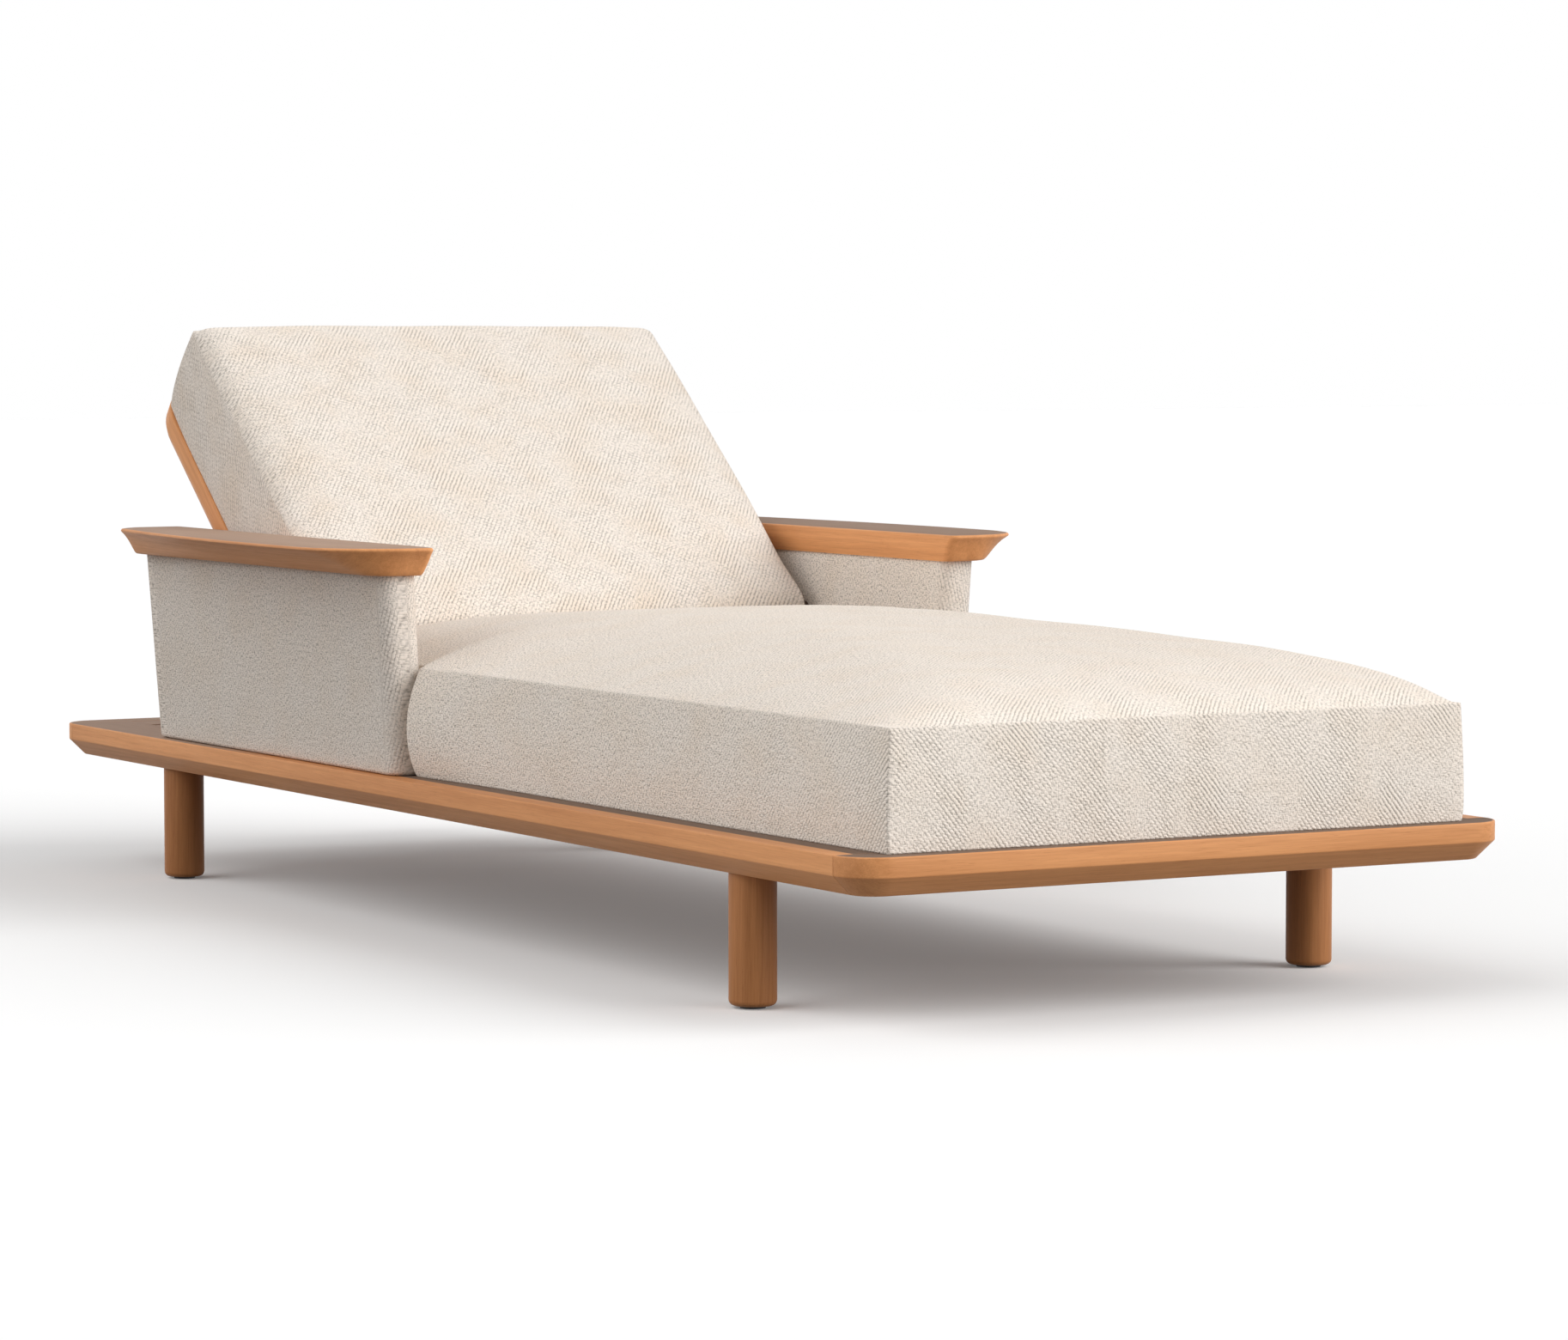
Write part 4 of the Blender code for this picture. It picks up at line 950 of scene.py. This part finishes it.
def seat_bulge(x, y, outward, part):
    """How far the side band stands out: low down along its length, and most at the ears.

    It stands out less at the corners and not between the arms, and its foot is a little rounded.
    """
    corner = np.exp(-(np.hypot(np.abs(x) - SEAT_HALF, y - SEAT_FRONT) / 0.14) ** 2)
    ear, turn = seat_ears(y)
    low = np.sin(0.62 * math.pi * (1 - part))
    swell = SEAT_SWELL * (1 - 0.4 * corner) * low + EAR_SWELL * ear * 4 * part * (1 - part)
    out = swell * turn
    return outward * (1.0, 0.5) * out[:, None] - outward * SEAT_FOOT_ROUND * (1 - part) ** 24


near = np.array([0.0, 0.006, 0.014, 0.026, 0.043, 0.065])
seat_us = np.concatenate([near, np.linspace(0.065, 0.935, 49)[1:-1], 1 - near[::-1]])
length = SEAT_REAR - SEAT_FRONT
ear_start = (EAR_START - SEAT_FRONT) / length
ear_end = (EAR_END - SEAT_FRONT) / length
seat_vs = np.concatenate(
    [
        [0.0, 0.003, 0.0075, 0.014, 0.023],
        np.linspace(0.035, ear_start - 0.01, 68),
        np.linspace(ear_start, ear_end, 7),
        np.linspace(ear_end + 0.008, 0.985, 20),
        [0.994, 1.0],
    ]
)
seat_parts = np.array([1.0, 0.965, 0.90, 0.81, 0.71, 0.60, 0.49, 0.38, 0.27, 0.17, 0.08, 0.025, 0.0])
seat, seat_rings, seat_corners = box_cushion(
    "seat_cushion_sewn",
    seat_place,
    seat_us,
    seat_vs,
    seat_parts,
    SEAT_BOTTOM,
    seat_bulge,
    top_map=(1.02, -1.25),
)
filled(seat, seat_rings, slice(seat_corners[2], seat_corners[3] + 1))
x, y, z = places(seat).T
near_front = np.exp(-np.maximum(y - SEAT_FRONT, 0) / COARSE_RUN)
top = z > SEAM_Z + 0.0005
front, everywhere = [np.where(top, *pair) for pair in zip(TOP_COARSE, BAND_COARSE)]
marked(seat, front * near_front + everywhere, np.where(top, TOP_LINED, BAND_LINED))
corners = seat_rings[:, seat_corners[:2]]
upright = np.stack([corners[:-1], corners[1:]], axis=2).reshape(-1, 2)
refined(seat, np.concatenate([looped(seat_rings[0]), upright, looped(seat_rings[-1])]), 1.0)
fitted(seat, "base", "fabric", SEAT_CLOTH, "seat_cushion")


# The back board: one wide hardwood board with rounded top corners, which carries the back cushion.
# Two battens screwed across its rear keep it flat; everything here turns about the pivot line.
PIVOT_Y, PIVOT_Z = frame["joints"][0]["pos_m"][1:]
BACK_ANGLE = math.radians(39.5)
BOARD_FRONT = -0.084
BOARD_REAR = -0.117
BOARD_HALF = 0.3245
BOARD_START = -0.020
BOARD_END = 0.548
BOARD_ROUND = 0.076
BOARD_LOWER_ROUND = 0.012
BOARD_STEPS = 17
BOARD_BEVEL = 0.005
BOARD_BEVEL_DEPTH = 0.0115
BATTEN_HALF = 0.255
BATTEN_WIDTH = 0.050
BATTEN_DEPTH = 0.016
BATTEN_EASE = 0.003
GLUE_GAP = 0.0003


def reclined(points):
    """Points measured flat about the pivot line, turned up to the back's angle."""
    x, s, h = points.T
    y = PIVOT_Y + s * math.cos(BACK_ANGLE) - h * math.sin(BACK_ANGLE)
    z = PIVOT_Z + s * math.sin(BACK_ANGLE) + h * math.cos(BACK_ANGLE)
    return np.stack([x, y, z], 1)


def board_plan(inset):
    """The board's outline: a rectangle with two large round corners at the head and two small ones below."""
    big = BOARD_ROUND - inset
    small = BOARD_LOWER_ROUND - inset
    side = BOARD_HALF - BOARD_ROUND
    lower = BOARD_HALF - BOARD_LOWER_ROUND
    return np.concatenate(
        [
            quarter_round(-lower, BOARD_START + BOARD_LOWER_ROUND, small, 180, BOARD_STEPS),
            quarter_round(lower, BOARD_START + BOARD_LOWER_ROUND, small, 270, BOARD_STEPS),
            quarter_round(side, BOARD_END - BOARD_ROUND, big, 0, BOARD_STEPS),
            quarter_round(-side, BOARD_END - BOARD_ROUND, big, 90, BOARD_STEPS),
        ]
    )


board_profile = eased(
    [
        (2 * BOARD_BEVEL, BOARD_REAR),
        (BOARD_BEVEL, BOARD_REAR),
        (0.0, BOARD_REAR + BOARD_BEVEL_DEPTH),
        (0.0, BOARD_FRONT),
        (BOARD_BEVEL, BOARD_FRONT),
    ],
    (0.003, 0.006, 0.003),
)
plans = np.stack([board_plan(inset) for inset in board_profile[:, 0]])
board = skin("back_board_shaped", stacked(plans, board_profile[:, 1]), along=1, place=reclined)
fitted(board, "backrest", "wood", OILED_WOOD, "back_board")
for label, start in (("lower", 0.225), ("upper", 0.435)):
    low = (-BATTEN_HALF, start, BOARD_REAR - GLUE_GAP - BATTEN_DEPTH)
    high = (BATTEN_HALF, start + BATTEN_WIDTH, BOARD_REAR - GLUE_GAP)
    batten = sawn("back_batten_" + label + "_sawn", low, high, 0, BATTEN_EASE, reclined)
    fitted(batten, "backrest", "wood", OILED_WOOD, "back_batten_" + label)


# The back cushion: a second foam block in the same cover, flat against the board behind it.
# Its front panel crowns gently, and its lower end is a round nose that rolls about the pivot line.
BACK_END = 0.503
BACK_HALF = 0.3215
BACK_CROWN = 0.020
BACK_DROP = 0.005
BACK_SWELL = 0.0030
BACK_CORNER = 0.0025
BACK_UNEVEN = 0.0014
BACK_WIDER = 0.0020
BACK_PINCH = 0.0042
BACK_HEAD_NARROWING = 0.0035
BACK_HEAD_BOW = 0.0050
BACK_FOOT_INSET = 0.002
NOSE = 0.040
NOSE_RUN = 0.07
BACK_COARSE = 0.70
BACK_LINED = -0.02
LEFT_LINED = -0.24
LEFT_RUN = 0.07
# The back's cloth is the seat's cloth painted darker, as painted shade that holds down the light falling
# full on its reclined face.
BACK_PALE = (0.87, 0.792, 0.715)
BACK_CLOTH = cloth("back_cloth", pitch=0.0058, slant=-0.67, spread=1.5, relief=0.8, pale=BACK_PALE, tan=0.8)


def back_place(u, v):
    """The front panel: softly rounded edges and head corners, falling round the nose at its lower end.

    The edges drop below the nose's height as a high power of the way across and of the way to the head.
    """
    across = 2 * u - 1
    s = -NOSE + (BACK_END + NOSE) * v
    nose = np.where(s > 0, NOSE, np.sqrt(np.maximum(NOSE**2 - s**2, 0)))
    up = np.maximum(s, 0) / BACK_END
    start = smooth(np.clip(s / NOSE_RUN, 0, 1))
    hip = (np.abs(across) ** 54 + up**96) ** (1 / 3)
    crown = np.maximum(1 - hip, 0) ** 0.6
    rise = crown * (BACK_CROWN * (1 - (1 - up) ** 5) + BACK_DROP * start)
    turn = np.clip((s - BACK_END) / BACK_CORNER + 1, 0, 1)
    half = BACK_HALF + BACK_WIDER * start - BACK_PINCH * np.exp(-((s - 0.04) / 0.08) ** 2)
    half = half - BACK_HEAD_NARROWING * np.clip(5 * up - 4, 0, 1) ** 2
    half = half - BACK_CORNER * (1 - np.sqrt(1 - turn**2))
    uneven = np.sin(19 * s + 4 * across) * np.sin(6.1 * across - 7 * s + 2)
    h = nose - BACK_DROP * start + rise + BACK_UNEVEN * uneven * crown * start
    s = s + BACK_HEAD_BOW * (1 - across**4) * np.clip(6 * v - 5, 0, 1)
    return np.stack([across * half, s, h], axis=2)


def back_bulge(x, s, outward, part):
    """The side band stands out a little, more at the head end, and not where the nose meets the seat."""
    swell = BACK_SWELL * np.clip(s / 0.08, 0, 1)
    return outward * (4 * swell * part * (1 - part) - BACK_FOOT_INSET * (1 - part) ** 6)[:, None]


share = NOSE / (BACK_END + NOSE)
turn = np.radians(np.linspace(0, 80, 9))
back_vs = np.concatenate(
    [share * (1 - np.cos(turn)), np.linspace(share, 0.955, 44), [0.968, 0.978, 0.986, 0.993, 0.998, 1.0]]
)
back_us = np.concatenate([near, np.linspace(0.065, 0.935, 47)[1:-1], 1 - near[::-1]])
back_parts = np.array([1.0, 0.965, 0.90, 0.80, 0.69, 0.57, 0.45, 0.33, 0.22, 0.12, 0.04, 0.0])
back, back_rings, back_corners = box_cushion(
    "back_cushion_sewn",
    back_place,
    back_us,
    back_vs,
    back_parts,
    BOARD_FRONT + GLUE_GAP,
    back_bulge,
    reclined,
)
filled(back, back_rings, slice(back_corners[0], back_corners[1] + 1))
near_left = np.exp(-np.maximum(places(back)[:, 0] + BACK_HALF, 0) / LEFT_RUN)
marked(back, BACK_COARSE, BACK_LINED + LEFT_LINED * near_left)
refined(back, np.concatenate([looped(back_rings[0]), looped(back_rings[-1])]), 0.5)
fitted(back, "backrest", "fabric", BACK_CLOTH, "back_cushion")


# The recline hardware: laser-cut steel plates and quadrants, turned pins, screws and the release bar.
# Satin steel, brushed along the lounger; the bushes, brackets and glides are black nylon.
def satin_steel():
    """Brushed steel: fine lines of noise along Y in its roughness and relief."""
    made, tree, shader = material("satin_steel")
    place = node(tree, "ShaderNodeTexCoord").outputs["Object"]
    lines = noise(tree, place, (900.0, 30.0, 900.0), detail=3.0).outputs[0]
    rough = node(tree, "ShaderNodeMapRange", {"Value": lines, "To Min": 0.28, "To Max": 0.48}).outputs[0]
    colour = ramp(tree, lines, ((0.3, (0.50, 0.50, 0.51)), (0.7, (0.66, 0.66, 0.66))))
    relief = bumped(tree, 0.08, 0.0003, lines)
    feed(tree, shader, {"Base Color": colour, "Metallic": 1.0, "Roughness": rough, "Normal": relief})
    return made


def black_nylon():
    """Moulded nylon: near black, with a fine pebbled relief."""
    made, tree, shader = material("black_nylon")
    place = node(tree, "ShaderNodeTexCoord").outputs["Object"]
    pebble = noise(tree, place, EVEN, detail=2.0, scale=1400.0).outputs[0]
    colour = ramp(tree, pebble, ((0.3, (0.018, 0.018, 0.019)), (0.7, (0.032, 0.032, 0.033))))
    relief = bumped(tree, 0.2, 0.0002, pebble)
    feed(tree, shader, {"Base Color": colour, "Roughness": 0.55, "Normal": relief})
    return made


SATIN_STEEL = satin_steel()
BLACK_NYLON = black_nylon()
steel = ("pivot_plate", "pivot_pin", "plate_screw", "quadrant_left", "quadrant_right", "release_bar")
finishes = {
    SATIN_STEEL: steel,
    BLACK_NYLON: ("glide", "pivot_bush", "release_bracket"),
    # The quadrant packers are painted near black, as painted shade in the gap beside the arms.
    SHADOW_GAP_WOOD: ("quadrant_packer",),
}
for finish, starts in finishes.items():
    for name, piece in nodes.items():
        if name.startswith(starts):
            piece.data.materials.clear()
            piece.data.materials.append(finish)
